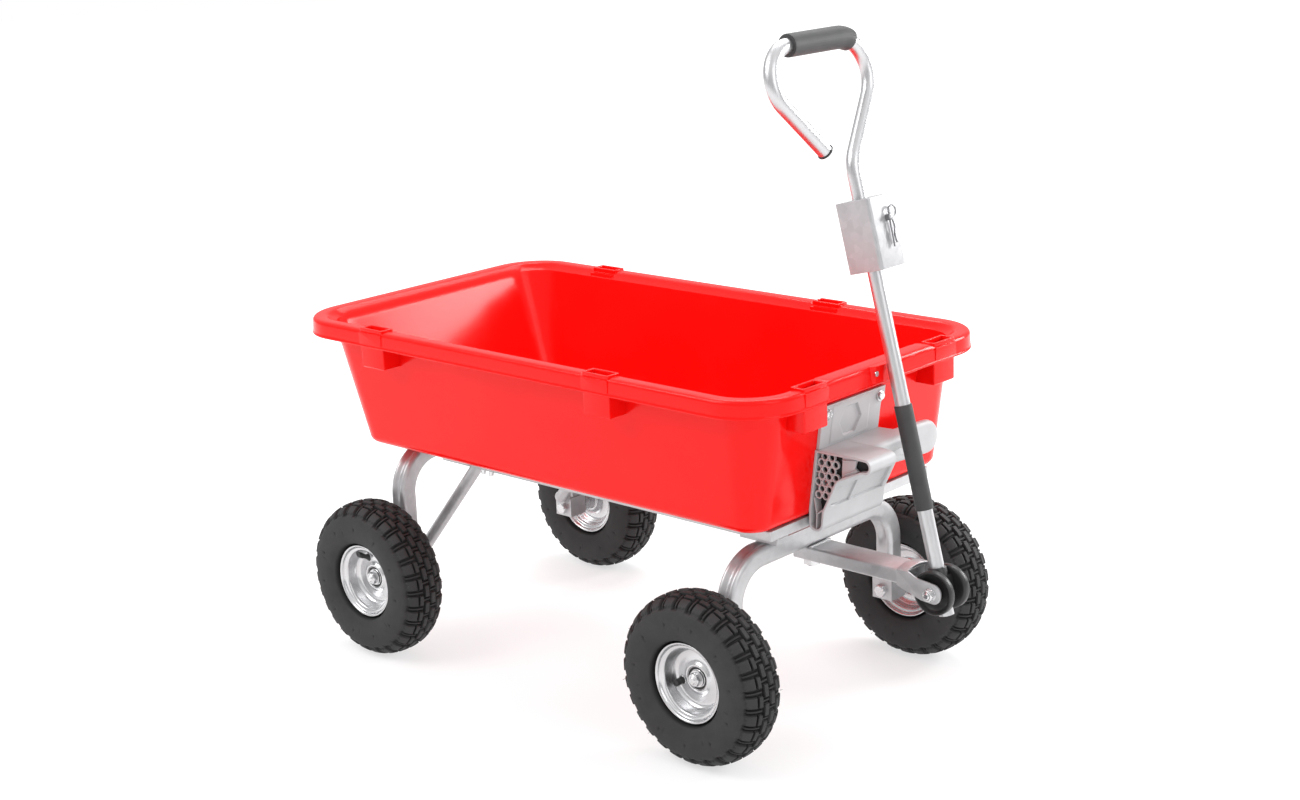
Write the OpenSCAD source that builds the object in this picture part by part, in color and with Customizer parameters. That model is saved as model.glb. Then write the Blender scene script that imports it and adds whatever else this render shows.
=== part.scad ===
// Garden dump cart: moulded tub that tips backwards on a steel frame, steered front axle,
// fold-down pull handle. Millimetres, +Z up, +X towards the handle, +Y to the cart's left.

/* [Wheels] */
// Distance between the front and rear axles
wheelbase = 708; // [640:1:800]
// Distance between the wheel centre planes
track = 524; // [500:1:600]
// Tyre outer diameter
tyre_d = 260; // [245:1:280]
// Tyre width at its widest
tyre_w = 86; // [76:1:90]
// Diameter of the rim flange
rim_d = 122; // [110:1:128]
// Distance across the hub tube, end to end
hub_len = 60; // [56:1:60]
// How far the hub tube sits inboard of the wheel's centre plane
hub_offset = 18; // [12:1:18]
// Axle bolt diameter
axle_d = 12; // [10:0.5:14]

/* [Tub] */
// Tub length over its rim
tub_len = 998; // [850:1:1100]
// Tub width over its rim
tub_w = 566; // [550:1:600]
// Height of the rim's top above the ground
rim_h = 557; // [500:1:620]
// Height of the frame's top face, where the tub rests
deck_h = 345; // [335:1:352]
// Tub wall thickness
tub_wall = 4; // [3:0.1:5]
// Width of the rim's top lip
lip_w = 30; // [24:1:34]
// Height of the skirt under the lip
skirt_h = 27; // [20:1:34]
// Plan radius of the rim's corners
rim_corner = 90; // [70:1:110]
// Length of a stake pocket's hole
pocket_l = 44; // [34:1:50]
// Width of a stake pocket's hole
pocket_w = 17; // [14:1:17]

/* [Frame] */
// Distance across the two side rails
rail_span = 380; // [370:1:390]
// Width of the angle-iron flanges that carry the tub
rail_flange = 30; // [25:1:32]
// Height of the angle iron
rail_h = 15; // [12:1:16]
// Thickness of the angle iron
rail_t = 3; // [2.5:0.1:4]
// Size of the square arch tube
arch_tube = 32; // [28:1:34]
// Wall of the arch tube
arch_wall = 2; // [1.5:0.1:3]
// Distance between the centres of an arch's legs
arch_span = 388; // [380:1:392]
// Inner radius of an arch's bends
bend_r = 50; // [40:1:55]
// Diameter of the rear braces
brace_d = 20; // [16:1:22]

/* [Steering and tongue] */
// Kingpin diameter
kingpin_d = 16; // [12:1:18]
// Tongue tube width
tongue_w = 50; // [44:1:50]
// Tongue tube height
tongue_h = 21.5; // [18:0.5:24]
// Distance from the kingpin to the handle pivot
tongue_reach = 236; // [234:1:260]

/* [Handle] */
// Lean of the stored handle towards the tub, in degrees
handle_lean = 13.8; // [13:0.1:14]
// Handle tube diameter
tube_d = 22; // [20:0.5:24]
// Handle tube wall
tube_wall = 1.8; // [1.2:0.1:2.5]
// Distance from the pivot to the underside of the hitch bracket
bracket_at = 470; // [465:1:500]
// Height of the hitch bracket along the tube
bracket_h = 102; // [90:1:110]
// Distance from the pivot to the middle of the grip bar
grip_at = 800; // [780:1:840]
// Grip diameter
grip_d = 33; // [30:1:36]
// Diameter of the pivot yoke's discs
yoke_d = 66; // [60:1:66]

/* [Latch] */
// Width of the latch housing
latch_w = 146; // [130:1:150]
// Diameter of the latch's lifting bar
bar_d = 22; // [18:1:24]

/* [Hidden] */

zinc = [0.74, 0.74, 0.75];
silver = [0.83, 0.83, 0.84];
red = [0.85, 0.03, 0.02];
grey = [0.66, 0.66, 0.67];
black = [0.09, 0.09, 0.09];
run = 0.06;             // running clearance, on the radius
gap = 0.3;              // gap between neighbours that don't touch
far = 400;              // reach of a cutting block

// places of the axles, pivots and the frame
axle_x = wheelbase / 2;
axle_z = tyre_d / 2;
wheel_y = track / 2;
rail_y = rail_span / 2;
beam_size = 25;
beam_y = 112.5;
beam_z = deck_h - rail_h - beam_size;
washer_t = 3;
bolster_t = 8;
front_top = beam_z - bolster_t - washer_t - arch_tube / 2 - 2 * gap;
tongue_top = front_top - arch_tube / 2;
pivot_drop = 24.4;      // handle pivot below the tongue's top
pivot = [axle_x + tongue_reach, 0, tongue_top - pivot_drop];
yoke_front = pivot[0] + yoke_d / 2;
tub_rear = -505.5;
tub_front = tub_rear + tub_len;
tub_floor = deck_h + gap;
origin_x = (min(tub_rear, -axle_x - tyre_d / 2) + max(yoke_front, tub_front)) / 2;
rear_top = deck_h - rail_h - 10;            // middle height of the rear arch's crossbar
rear_rail_x = -255;
front_rail_x = 432;
hinge = [-axle_x - arch_tube / 2 - 8, 0, deck_h - 27];
hinge_pin_d = 8;
bracket_bottom = axle_z - 15;
leg_y = arch_span / 2;

module placed() { translate([-origin_x, 0, 0]) children(); }

// both sides of the cart: the child is drawn at +Y and mirrored to -Y
module both_sides() { for (s = [0, 1]) mirror([0, s, 0]) children(); }

module rod_y(d, y0, y1, x = 0, z = 0) {
    translate([x, y0, z]) rotate([-90, 0, 0]) cylinder(d = d, h = y1 - y0, $fn = 48);
}
module rod_z(d, z0, z1, x = 0, y = 0) {
    translate([x, y, z0]) cylinder(d = d, h = z1 - z0, $fn = 48);
}
module rod_x(d, x0, x1, y = 0, z = 0) {
    translate([x0, y, z]) rotate([0, 90, 0]) cylinder(d = d, h = x1 - x0, $fn = 48);
}
module box(low, high) { translate(low) cube(high - low); }
module hex_z(across, z0, z1, x = 0, y = 0) {
    translate([x, y, z0]) cylinder(d = across / cos(30), h = z1 - z0, $fn = 6);
}
module hex_y(across, y0, y1, x = 0, z = 0) {
    translate([x, y0, z]) rotate([-90, 0, 0]) cylinder(d = across / cos(30), h = y1 - y0, $fn = 6);
}

// skin through rings of equal length, capped at both ends or closed on itself
module loft(rings, closed = false) {
    n = len(rings[0]);
    last = len(rings) - 1;
    polyhedron(points = [for (r = rings) each r], faces = concat(
        closed ? [] : [[for (i = [0:n - 1]) i]],
        [for (k = [0:closed ? last : last - 1]) let (a = k * n, b = (k + 1) % (last + 1) * n)
            for (i = [0:n - 1]) let (j = (i + 1) % n) each [[a + i, b + i, b + j], [a + i, b + j, a + j]]],
        closed ? [] : [[for (i = [n - 1:-1:0]) last * n + i]]), convexity = 6);
}

// ---- wheels ----------------------------------------------------------------------------
// A wheel is drawn about the Z axis, its outer face at +Z, then laid over onto its axle.
module wheel_at(x, side) {
    translate([x, side * wheel_y, axle_z]) rotate([-90 * side, 0, 0]) children();
}
function oval(w, h, n, steps, from = 0, to = 360) = [for (i = [0:steps]) let (a = from + (to - from) * i / steps)
    [h * sign(cos(a)) * pow(abs(cos(a)), 2 / n), w * sign(sin(a)) * pow(abs(sin(a)), 2 / n)]];
bead_r = rim_d / 2 - 9;
tyre_mid = (tyre_d / 2 + bead_r) / 2;
tyre_half = (tyre_d / 2 - bead_r) / 2;
carcass = 9;
bead_in = 15;           // half of the open gap between the beads
valve_r = 34;
valve_angle = 200;
module tyre() color(black) {
    rotate_extrude($fn = 96) difference() {
        translate([tyre_mid, 0]) polygon(oval(tyre_w / 2, tyre_half, 2.5, 44));
        translate([tyre_mid, 0]) polygon(oval(tyre_w / 2 - carcass, tyre_half - carcass, 2.5, 36));
        translate([bead_r - 1, -bead_in]) square([carcass + 4, 2 * bead_in]);
        translate([0, -tyre_w / 2]) square([bead_r + 0.2, tyre_w]);
        for (s = [0, 1]) mirror([0, s]) {
            translate([0, rim_flange_z - 6.4]) square([bead_r + 2, tyre_w]);
            translate([0, rim_flange_z - 4.2]) square([rim_d / 2 + gap, tyre_w]);
        }
    }
    rotate([0, 0, valve_angle]) {
        rod_z(8, 4, 24, valve_r);
        rod_z(5, -6, 4, valve_r);
    }
}
rim_t = 2;
rim_flange_z = 27;
hub_r = 18;
rim_collar_out = 8;     // height of the collar round the hub, outer half
rim_collar_in = 22;
module rim_half(collar) color(silver) difference() {
    rotate_extrude($fn = 96) polygon([
        [hub_r + run, 0.3], [hub_r + run, collar], [hub_r + rim_t, collar],
        [hub_r + rim_t + 2, 3 + collar * 0.3], [valve_r - 2, 4.5],
        [bead_r - 12, 3.2], [bead_r - 6, 4], [bead_r - rim_t, 10], [bead_r - rim_t, 22], [bead_r + 1, 25.5],
        [rim_d / 2 - 3, 27.5], [rim_d / 2 - 2, rim_flange_z + 4], [rim_d / 2, rim_flange_z + 4],
        [rim_d / 2, rim_flange_z - 1], [bead_r + 2, 23.5], [bead_r, 21], [bead_r, 9], [bead_r - 4, 0.3]]);
    rotate([0, 0, valve_angle]) rod_z(8.6, -1, 12, valve_r);
}
module rim_outer() rim_half(rim_collar_out);
module rim_inner() mirror([0, 0, 1]) rim_half(rim_collar_in);
bearing_l = 12;
bearing_d = 28;
module hub() color(silver) translate([0, 0, -hub_offset]) difference() {
    cylinder(r = hub_r, h = hub_len, center = true, $fn = 64);
    cylinder(d = axle_d + 4, h = hub_len + 2, center = true, $fn = 48);
    for (s = [0, 1]) mirror([0, 0, s])
        translate([0, 0, hub_len / 2 - bearing_l]) cylinder(d = bearing_d, h = bearing_l + 1, $fn = 64);
}
module bearings() color(black) translate([0, 0, -hub_offset]) for (s = [0, 1]) mirror([0, 0, s]) difference() {
    rod_z(bearing_d - 2 * run, hub_len / 2 - bearing_l, hub_len / 2);
    rod_z(axle_d + 2 * run, hub_len / 2 - bearing_l - 1, hub_len / 2 + 1);
}

// ---- axles -----------------------------------------------------------------------------
bracket_t = 2.5;
leg_in = leg_y - arch_tube / 2;
leg_out = leg_y + arch_tube / 2;
hub_out = wheel_y - hub_offset + hub_len / 2;   // hub faces, from the cart's middle
hub_in = wheel_y - hub_offset - hub_len / 2;
nut_at = hub_out + 0.4;
// shoulder bolts with the spacer between bracket and hub, washer and nut, at +Y and -Y
module axle_bolts(x) color(silver) both_sides() {
    hex_y(18, leg_in - bracket_t - 8, leg_in - bracket_t, x, axle_z);
    rod_y(axle_d, leg_in - bracket_t, nut_at + 12, x, axle_z);
    difference() {
        rod_y(axle_d + 8, leg_out + bracket_t, hub_in - 0.4, x, axle_z);
        rod_y(axle_d + 0.2, 0, wheel_y, x, axle_z);
    }
    difference() {
        union() {
            rod_y(axle_d + 13, nut_at, nut_at + 2, x, axle_z);
            hex_y(18, nut_at + 2, nut_at + 9.5, x, axle_z);
        }
        rod_y(axle_d + 0.2, 0, nut_at + 20, x, axle_z);
    }
}
// channel folded round the foot of a leg
module axle_brackets(x) color(zinc) both_sides() difference() {
    box([x - arch_tube / 2 - bracket_t, leg_in - bracket_t, bracket_bottom],
        [x + arch_tube / 2 + bracket_t, leg_out + bracket_t, bracket_bottom + 35]);
    box([x - arch_tube / 2 - 0.1, leg_in - 0.1, bracket_bottom - 1],
        [x + arch_tube / 2 + 0.1, leg_out + 0.1, bracket_bottom + 36]);
    rod_y(axle_d + 0.4, leg_in - 20, leg_out + 20, x, axle_z);
}

// ---- bent square tube ------------------------------------------------------------------
corner_r = 8;
module tube_profile(size, r) {
    square([size - 2 * r, size], center = true);
    square([size, size - 2 * r], center = true);
    for (i = [-1, 1], j = [-1, 1]) translate([i, j] * (size / 2 - r)) circle(r = r, $fn = 32);
}
module tube_ring() difference() {
    tube_profile(arch_tube, corner_r);
    tube_profile(arch_tube - 2 * arch_wall, corner_r - arch_wall);
}
module arch(x, top) color(zinc) {
    r = bend_r + arch_tube / 2;
    difference() {
        translate([x, 0, 0]) union() {
            rotate([90, 0, 0]) linear_extrude(2 * (leg_y - r), center = true) translate([0, top]) tube_ring();
            both_sides() {
                translate([0, leg_y, bracket_bottom]) linear_extrude(top - r - bracket_bottom) tube_ring();
                translate([0, leg_y - r, top - r]) rotate([0, -90, 0])
                    rotate_extrude(angle = 90, $fn = 96) translate([r, 0]) tube_ring();
            }
        }
        both_sides() rod_y(axle_d + 0.4, leg_in - 20, leg_out + 20, x, axle_z);
        if (x > 0) rod_z(kingpin_d + 2 * run, top - 30, top + 30, x);
    }
}

// ---- frame -----------------------------------------------------------------------------
module side_rails() color(zinc) both_sides() {
    box([rear_rail_x, rail_y - rail_t, deck_h - rail_h], [front_rail_x - rail_t, rail_y, deck_h]);
    difference() {
        box([rear_rail_x, rail_y - rail_flange, deck_h - rail_t], [front_rail_x - rail_t, rail_y, deck_h]);
        for (x = frame_bolt_x) rod_z(8.6, deck_h - 10, deck_h + 5, x, frame_bolt_y);
    }
}
cross_y = rail_y - rail_flange;
module cross_members() color(zinc) {
    box([front_rail_x - rail_t, -rail_y, deck_h - rail_h], [front_rail_x, rail_y, deck_h]);
    box([front_rail_x - rail_flange, -cross_y, deck_h - rail_t], [front_rail_x - rail_t, cross_y, deck_h]);
    box([rear_rail_x, -cross_y, deck_h - rail_t], [rear_rail_x + rail_flange, cross_y, deck_h]);
    box([rear_rail_x, -cross_y, deck_h - rail_h], [rear_rail_x + rail_t, cross_y, deck_h]);
}
module floor_beams() color(zinc) both_sides() difference() {
    translate([0, beam_y - beam_size / 2, beam_z])
        box([-axle_x + arch_tube / 2, 0, 0], [front_rail_x - 2, beam_size, beam_size]);
    translate([0, beam_y - beam_size / 2, beam_z])
        box([-axle_x, 2, 2], [front_rail_x, beam_size - 2, beam_size - 2]);
}
module kingpin_bolster() color(zinc) difference() {
    box([axle_x - 35, -beam_y - beam_size / 2, beam_z - bolster_t], [axle_x + 35, beam_y + beam_size / 2, beam_z]);
    rod_z(kingpin_d + 2 * run, beam_z - bolster_t - 5, beam_z + 5, axle_x);
}
module thrust_washer() color(silver) difference() {
    rod_z(kingpin_d + 28, beam_z - bolster_t - 0.3 - washer_t, beam_z - bolster_t - 0.3, axle_x);
    rod_z(kingpin_d + 2 * run, 0, far, axle_x);
}
king_top = beam_z;
king_nut = tongue_top - tongue_h - 2.5;
module kingpin() color(silver) {
    hex_z(24, king_top, king_top + 10, axle_x);
    rod_z(kingpin_d, king_nut - 13, king_top, axle_x);
    difference() {
        union() {
            rod_z(30, king_nut, king_nut + 2.2, axle_x);
            hex_z(24, king_nut - 10, king_nut, axle_x);
        }
        rod_z(kingpin_d + 0.2, 0, king_nut + 5, axle_x);
    }
}
frame_bolt_x = [-176, -158];
frame_bolt_y = rail_y - rail_t - 13;
brace_y = leg_in - bracket_t - brace_d / 2 - 4;
brace_foot = [-axle_x + 6, bracket_bottom + 38];
brace_head = [-192, deck_h - rail_t - 7];
module rear_braces() color(zinc) both_sides() {
    run_x = brace_head[0] - brace_foot[0];
    run_z = brace_head[1] - brace_foot[1];
    difference() {
        union() {
            translate([brace_foot[0], brace_y, brace_foot[1]]) rotate([0, atan2(run_x, run_z), 0]) difference() {
                cylinder(d = brace_d, h = norm([run_x, run_z]), $fn = 48);
                translate([0, 0, 8]) cylinder(d = brace_d - 4, h = norm([run_x, run_z]) - 16, $fn = 48);
            }
            box([brace_head[0] - 14, brace_y - 8, deck_h - rail_t - 6],
                [brace_head[0] + 42, frame_bolt_y + 10, deck_h - rail_t]);
            rod_y(brace_d + 4, brace_y, leg_in - bracket_t - 0.1, brace_foot[0], brace_foot[1]);
        }
        box([-axle_x, 0, deck_h - rail_t], [0, rail_y, deck_h + 30]);
        for (x = frame_bolt_x) rod_z(8.6, 0, deck_h + 5, x, frame_bolt_y);
    }
}
module frame_bolts() color(silver) both_sides() for (x = frame_bolt_x) {
    rod_z(8, deck_h - 28, deck_h - 0.2, x, frame_bolt_y);
    difference() {
        hex_z(13, deck_h - rail_t - 13, deck_h - rail_t - 6, x, frame_bolt_y);
        rod_z(8.2, 0, far, x, frame_bolt_y);
    }
}
lug_r = 10;
lug_t = 4;
lug_gap = 0.5;
lug_y = [beam_y - 10.5, beam_y + 6.5];
module lug(y0, y1, r) {
    rod_y(2 * r, y0, y1, hinge[0], hinge[2]);
}
module hinge_lugs() color(zinc) both_sides() for (y = lug_y) difference() {
    union() {
        lug(y, y + lug_t, lug_r);
        box([hinge[0], y, hinge[2] - lug_r], [-axle_x - arch_tube / 2, y + lug_t, hinge[2] + lug_r]);
    }
    box([-axle_x - arch_tube / 2, y - 1, 0], [0, y + lug_t + 1, far]);
    rod_y(hinge_pin_d + 2 * run, y - 1, y + lug_t + 1, hinge[0], hinge[2]);
}
module hinge_pins() color(silver) both_sides() {
    rod_y(hinge_pin_d, lug_y[0] - 2, lug_y[1] + lug_t + 3, hinge[0], hinge[2]);
    rod_y(14, lug_y[1] + lug_t + 0.2, lug_y[1] + lug_t + 4, hinge[0], hinge[2]);
}
module rear_arch() arch(-axle_x, rear_top);
module front_arch() arch(axle_x, front_top);
module rear_axle_brackets() axle_brackets(-axle_x);
module front_axle_brackets() axle_brackets(axle_x);
module rear_axle_bolts() axle_bolts(-axle_x);
module front_axle_bolts() axle_bolts(axle_x);

// ---- tongue ----------------------------------------------------------------------------
tongue_x0 = axle_x - 16;
tongue_x1 = pivot[0] - 45;
module tongue() color(zinc) difference() {
    box([tongue_x0, -tongue_w / 2, tongue_top - tongue_h], [tongue_x1, tongue_w / 2, tongue_top]);
    box([tongue_x0 - 1, -tongue_w / 2 + 2.5, tongue_top - tongue_h + 2.5], [tongue_x1 + 1, tongue_w / 2 - 2.5, tongue_top - 2.5]);
    rod_z(kingpin_d + 2 * run, 0, far, axle_x);
}
clevis_t = 3;
clevis_x0 = tongue_x1 - 20;
pivot_bolt_d = 10;
ear_h = 30;
module clevis() color(zinc) difference() {
    union() {
        both_sides() {
            box([clevis_x0, tongue_w / 2, pivot[2] - ear_h / 2], [pivot[0] + 3, tongue_w / 2 + clevis_t, pivot[2] + ear_h / 2]);
            rod_y(ear_h, tongue_w / 2, tongue_w / 2 + clevis_t, pivot[0] + 3, pivot[2]);
        }
        box([clevis_x0, -tongue_w / 2, tongue_top], [tongue_x1 + 4, tongue_w / 2, tongue_top + clevis_t]);
        both_sides() box([clevis_x0, tongue_w / 2, pivot[2] - ear_h / 2], [tongue_x1 + 4, tongue_w / 2 + clevis_t, tongue_top + clevis_t]);
    }
    rod_y(pivot_bolt_d + 0.2, -far, far, pivot[0], pivot[2]);
}
module pivot_bolt() color(silver) {
    y1 = tongue_w / 2 + clevis_t;
    rod_y(pivot_bolt_d, -y1 - 11, y1, pivot[0], pivot[2]);
    hex_y(16, y1, y1 + 6.5, pivot[0], pivot[2]);
    difference() {
        union() {
            rod_y(20, -y1 - 1.5, -y1, pivot[0], pivot[2]);
            hex_y(16, -y1 - 9, -y1 - 1.5, pivot[0], pivot[2]);
        }
        rod_y(pivot_bolt_d + 0.2, -far, 0, pivot[0], pivot[2]);
    }
}

// ---- handle: drawn with Z along the tube, from the pivot, X to its front -----------------
module handle() { translate(pivot) rotate([0, -handle_lean, 0]) children(); }
stub = 38;
module round_tube(z0, z1) difference() {
    rod_z(tube_d, z0, z1);
    rod_z(tube_d - 2 * tube_wall, z0 - 1, z1 + 1);
}
module lower_tube() color(silver) handle() difference() {
    round_tube(-stub, bracket_at - 0.1);
    rod_y(pivot_bolt_d + 0.6, -far, far);
}
module handle_sleeve() color(black) handle() difference() {
    rod_z(tube_d + 4, 119, 273);
    rod_z(tube_d + 0.1, 118, 274);
}
disc_y = 12;
module pivot_yoke() color(black) handle() difference() {
    union() {
        both_sides() {
            rod_y(yoke_d - 6, disc_y, disc_y + 3);
            difference() {
                rod_y(yoke_d, disc_y + 1, tongue_w / 2 - 0.8);
                rod_y(yoke_d - 8, disc_y + 3, tongue_w / 2);
            }
            rod_y(20, disc_y, tongue_w / 2 - 0.8);
        }
        rod_z(tube_d + 6, -22, 33);
    }
    rod_z(tube_d + 0.1, -far, far);
    rod_y(pivot_bolt_d + 2 * run, -far, far);
}
plate_t = 3;
bracket_y = 29;
bracket_n = [-22, 36];
pin_d = 9;
pin_at = bracket_at + 0.68 * bracket_h;
pin_y = 5;
clip_d = 2.6;
// folded sheet channel with end plates: closed in front, at its sides and ends, open at the back
module hitch_bracket() color(silver) handle() difference() {
    box([bracket_n[0], -bracket_y, bracket_at], [bracket_n[1], bracket_y, bracket_at + bracket_h]);
    box([bracket_n[0] - 1, -bracket_y + plate_t, bracket_at + plate_t],
        [bracket_n[1] - plate_t, bracket_y - plate_t, bracket_at + bracket_h - plate_t]);
    rod_z(tube_d + 0.3, bracket_at + 10, far * 3);
    rod_x(pin_d + 0.2, 0, far, pin_y, pin_at);
}
module hitch_pin() color(silver) handle() difference() {
    union() {
        rod_x(pin_d, -tube_d / 2 - 6, bracket_n[1] + 8, pin_y, pin_at);
        rod_x(pin_d + 6, -tube_d / 2 - 8.5, -tube_d / 2 - 5.5, pin_y, pin_at);
    }
    rod_z(clip_d + 0.2, 0, far * 3, bracket_n[1] + 4, pin_y);
}
module hitch_clip() color(silver) handle() {
    x = bracket_n[1] + 4;
    leg_gap = pin_d / 2 + clip_d / 2 + 0.4;
    rod_z(clip_d, pin_at - 42, pin_at + 12, x, pin_y);
    rod_z(clip_d, pin_at - 34, pin_at + 12, x, pin_y + leg_gap);
    translate([x, pin_y + leg_gap / 2, pin_at + 12]) rotate([0, 90, 0]) rotate([0, 0, 90])
        rotate_extrude(angle = 180, $fn = 48) translate([leg_gap / 2, 0]) circle(d = clip_d, $fn = 24);
}

// Path in the handle's Y-Z plane through corner points, each rounded to its own radius, swept
// as one skin: the outer rings run along the path and the inner rings come back.
tube_sides = 24;
function unit(v) = v / norm(v);
function heading(v) = atan2(v[1], v[0]);
function swing(a, b) = let (d = heading(b) - heading(a)) d > 180 ? d - 360 : d < -180 ? d + 360 : d;
function cut(r, turn) = r * tan(abs(turn) / 2);
// stations of one bend, as [y, z, heading], from one share of its turn to another
function bend(before, corner, after, r, from = 0, to = 1, steps = 8) = let (
        v = unit(corner - before), turn = swing(v, after - corner), side = sign(turn),
        start = corner - v * cut(r, turn), centre = start + side * r * [-v[1], v[0]])
    [for (i = [0:steps]) let (a = heading(v) + turn * (from + (to - from) * i / steps))
        [centre[0] + side * r * sin(a), centre[1] - side * r * cos(a), a]];
function station_ring(s, d) = [for (i = [0:tube_sides - 1]) let (a = 360 * i / tube_sides)
    [d / 2 * cos(a), s[0] - d / 2 * sin(a) * sin(s[2]), s[1] + d / 2 * sin(a) * cos(s[2])]];
function end_station(at, next) = [at[0], at[1], heading(next - at)];
module swept_tube(stations, d, bore) {
    n = len(stations) - 1;
    loft(concat([for (s = stations) station_ring(s, d)], [for (i = [n:-1:0]) station_ring(stations[i], bore)]), true);
}
loop_z = grip_at;
tube_start = [0, bracket_at + 16];
loop_foot = [0, loop_z - 176];
loop_right = [132.6, loop_z];
loop_left = [-199.6, loop_z];
loop_end = [-55, loop_z - 152];
foot_bend_r = 40;
right_bend_r = 40;
left_bend_r = 48;
module upper_tube() color(silver) handle() difference() {
    swept_tube(concat([end_station(tube_start, loop_foot)],
        bend(tube_start, loop_foot, loop_right, foot_bend_r),
        bend(loop_foot, loop_right, loop_left, right_bend_r, steps = 14),
        bend(loop_right, loop_left, loop_end, left_bend_r, steps = 16),
        [[loop_end[0], loop_end[1], heading(loop_end - loop_left)]]), tube_d, tube_d - 2 * tube_wall);
    rod_x(pin_d + 0.2, -far, far, pin_y, pin_at);
}
grip_wrap = 0.42;               // share of the right bend that the grip starts at
module hand_grip() color(black) handle()
    swept_tube(concat(bend(loop_foot, loop_right, loop_left, right_bend_r, grip_wrap, 1, 10),
        [[-88, loop_z, 180]]), grip_d, tube_d + 0.3);
module tube_end_cap() color(black) handle() {
    v = unit(loop_end - loop_left);
    translate([0, loop_end[0], loop_end[1]]) rotate([-atan2(v[0], v[1]), 0, 0]) {
        rod_z(tube_d + 3, 0.1, 5);
        rod_z(tube_d - 2 * tube_wall - 0.2, -12, 2);
    }
}

// ---- tub -------------------------------------------------------------------------------
// Plan outline of the tub at one height: a rectangle with quarter-circle corners.
corner_steps = 7;
function outline(x0, x1, hw, r, z) = [for (c = [[1, 1, 0], [-1, 1, 90], [-1, -1, 180], [1, -1, 270]])
    for (i = [0:corner_steps]) let (a = c[2] + 90 * i / corner_steps)
        [(c[0] > 0 ? x1 - r : x0 + r) + r * cos(a), c[1] * (hw - r) + r * sin(a), z]];
wall_top = rim_h - 5;
foot = 15;                      // radius of the edge round the floor
base_hw = rail_span / 2 + 38;   // half width of the floor's edge
top_hw = tub_w / 2 - lip_w - tub_wall + 1;
base_x0 = -413;
base_x1 = front_rail_x + 4;
top_x0 = tub_rear + lip_w;
top_x1 = tub_front - lip_w + 2;
base_r = 39;
top_r = rim_corner - 24;
function mix(a, b, k) = a + (b - a) * k;
// share of the way up the wall at a height
function up(z) = (z - tub_floor - foot) / (wall_top - tub_floor - foot);
function wall_ring(z, inset) = let (k = up(z))
    outline(mix(base_x0, top_x0, k) + inset, mix(base_x1, top_x1, k) - inset,
        mix(base_hw, top_hw, k) - inset, max(mix(base_r, top_r, k) - inset, 4), z);
function rim_ring(grow, z) = outline(tub_rear - grow, tub_front + grow, tub_w / 2 + grow, rim_corner + grow, z);
function front_wall(z) = mix(base_x1, top_x1, up(z));
function foot_ring(inset, r, a, low) = let (d = r * (1 - cos(a)), z = low + r * (1 - sin(a)))
    outline(base_x0 + inset + d, base_x1 - inset - d, base_hw - inset - d, max(base_r - inset - d, 6), z);
skin_rings = concat(
    [for (a = [90, 67.5, 45, 22.5]) foot_ring(0, foot, a, tub_floor)],
    [for (i = [0:4]) wall_ring(mix(tub_floor + foot, wall_top - 6, i / 4), 0)],
    [rim_ring(-lip_w + 6, wall_top - 1), rim_ring(-3, wall_top - 2), rim_ring(-3, rim_h - skirt_h),
     rim_ring(0, rim_h - skirt_h), rim_ring(0, rim_h - 6), rim_ring(-1.8, rim_h - 1.8), rim_ring(-6, rim_h),
     rim_ring(-lip_w + 8, rim_h), rim_ring(-lip_w + 3.5, rim_h - 1.6)],
    [for (i = [0:4]) wall_ring(mix(wall_top - 4, tub_floor + foot, i / 4), tub_wall)],
    [for (a = [22.5, 45, 67.5, 90]) foot_ring(tub_wall, foot - tub_wall, a, tub_floor + tub_wall)]);
side_pockets = [-303.5, 188];
front_pocket_y = 154;
pocket_mid = 15;                // inset of a pocket's middle from the rim's edge
pocket_rise = 3;
pocket_depth = 62;
side_pocket_y = tub_w / 2 - pocket_mid;
front_pocket_x = tub_front - pocket_mid;
module pocket_block(l, w) {
    translate([0, 0, rim_h - skirt_h / 2]) cube([l, w, skirt_h + 2 * pocket_rise], center = true);
    translate([0, 0, rim_h - pocket_depth / 2 - 1]) cube([l - 5, w - 3, pocket_depth - 2], center = true);
}
module pocket_hole(l, w) {
    translate([0, 0, rim_h - pocket_depth / 2 + 4]) cube([l, w, pocket_depth + 1], center = true);
}
module at_pockets() {
    for (x = side_pockets, s = [-1, 1]) translate([x, s * side_pocket_y, 0]) children();
    for (s = [-1, 1]) translate([front_pocket_x, s * front_pocket_y, 0]) rotate([0, 0, 90]) children();
}
module tub() color(red) difference() {
    union() {
        loft(skin_rings);
        at_pockets() pocket_block(pocket_l + 8, pocket_w + 8);
    }
    at_pockets() pocket_hole(pocket_l, pocket_w);
    for (y = latch_bolt_y) rod_x(7, 400, 520, y, latch_bolt_z);
}
clip_top = rim_h + 2;
tube_at_rim = pivot[0] - (rim_h - pivot[2]) * tan(handle_lean);
clip_front = tube_at_rim - tube_d / 2 - 3.6;
module handle_clip() color(red) {
    difference() {
        box([tub_front + 0.1, -30, rim_h - skirt_h + 3], [clip_front, 30, clip_top]);
        translate([tube_at_rim, 0, rim_h]) rotate([0, -handle_lean, 0]) cylinder(d = tube_d + 4, h = 90, center = true, $fn = 64);
    }
    box([tub_front - 26, -30, rim_h + 0.1], [tub_front + 0.1, 30, clip_top]);
}

module clip_rivets() color(silver) both_sides() rod_x(8, clip_front + 0.1, clip_front + 1.3, 24, rim_h - 8);

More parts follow.
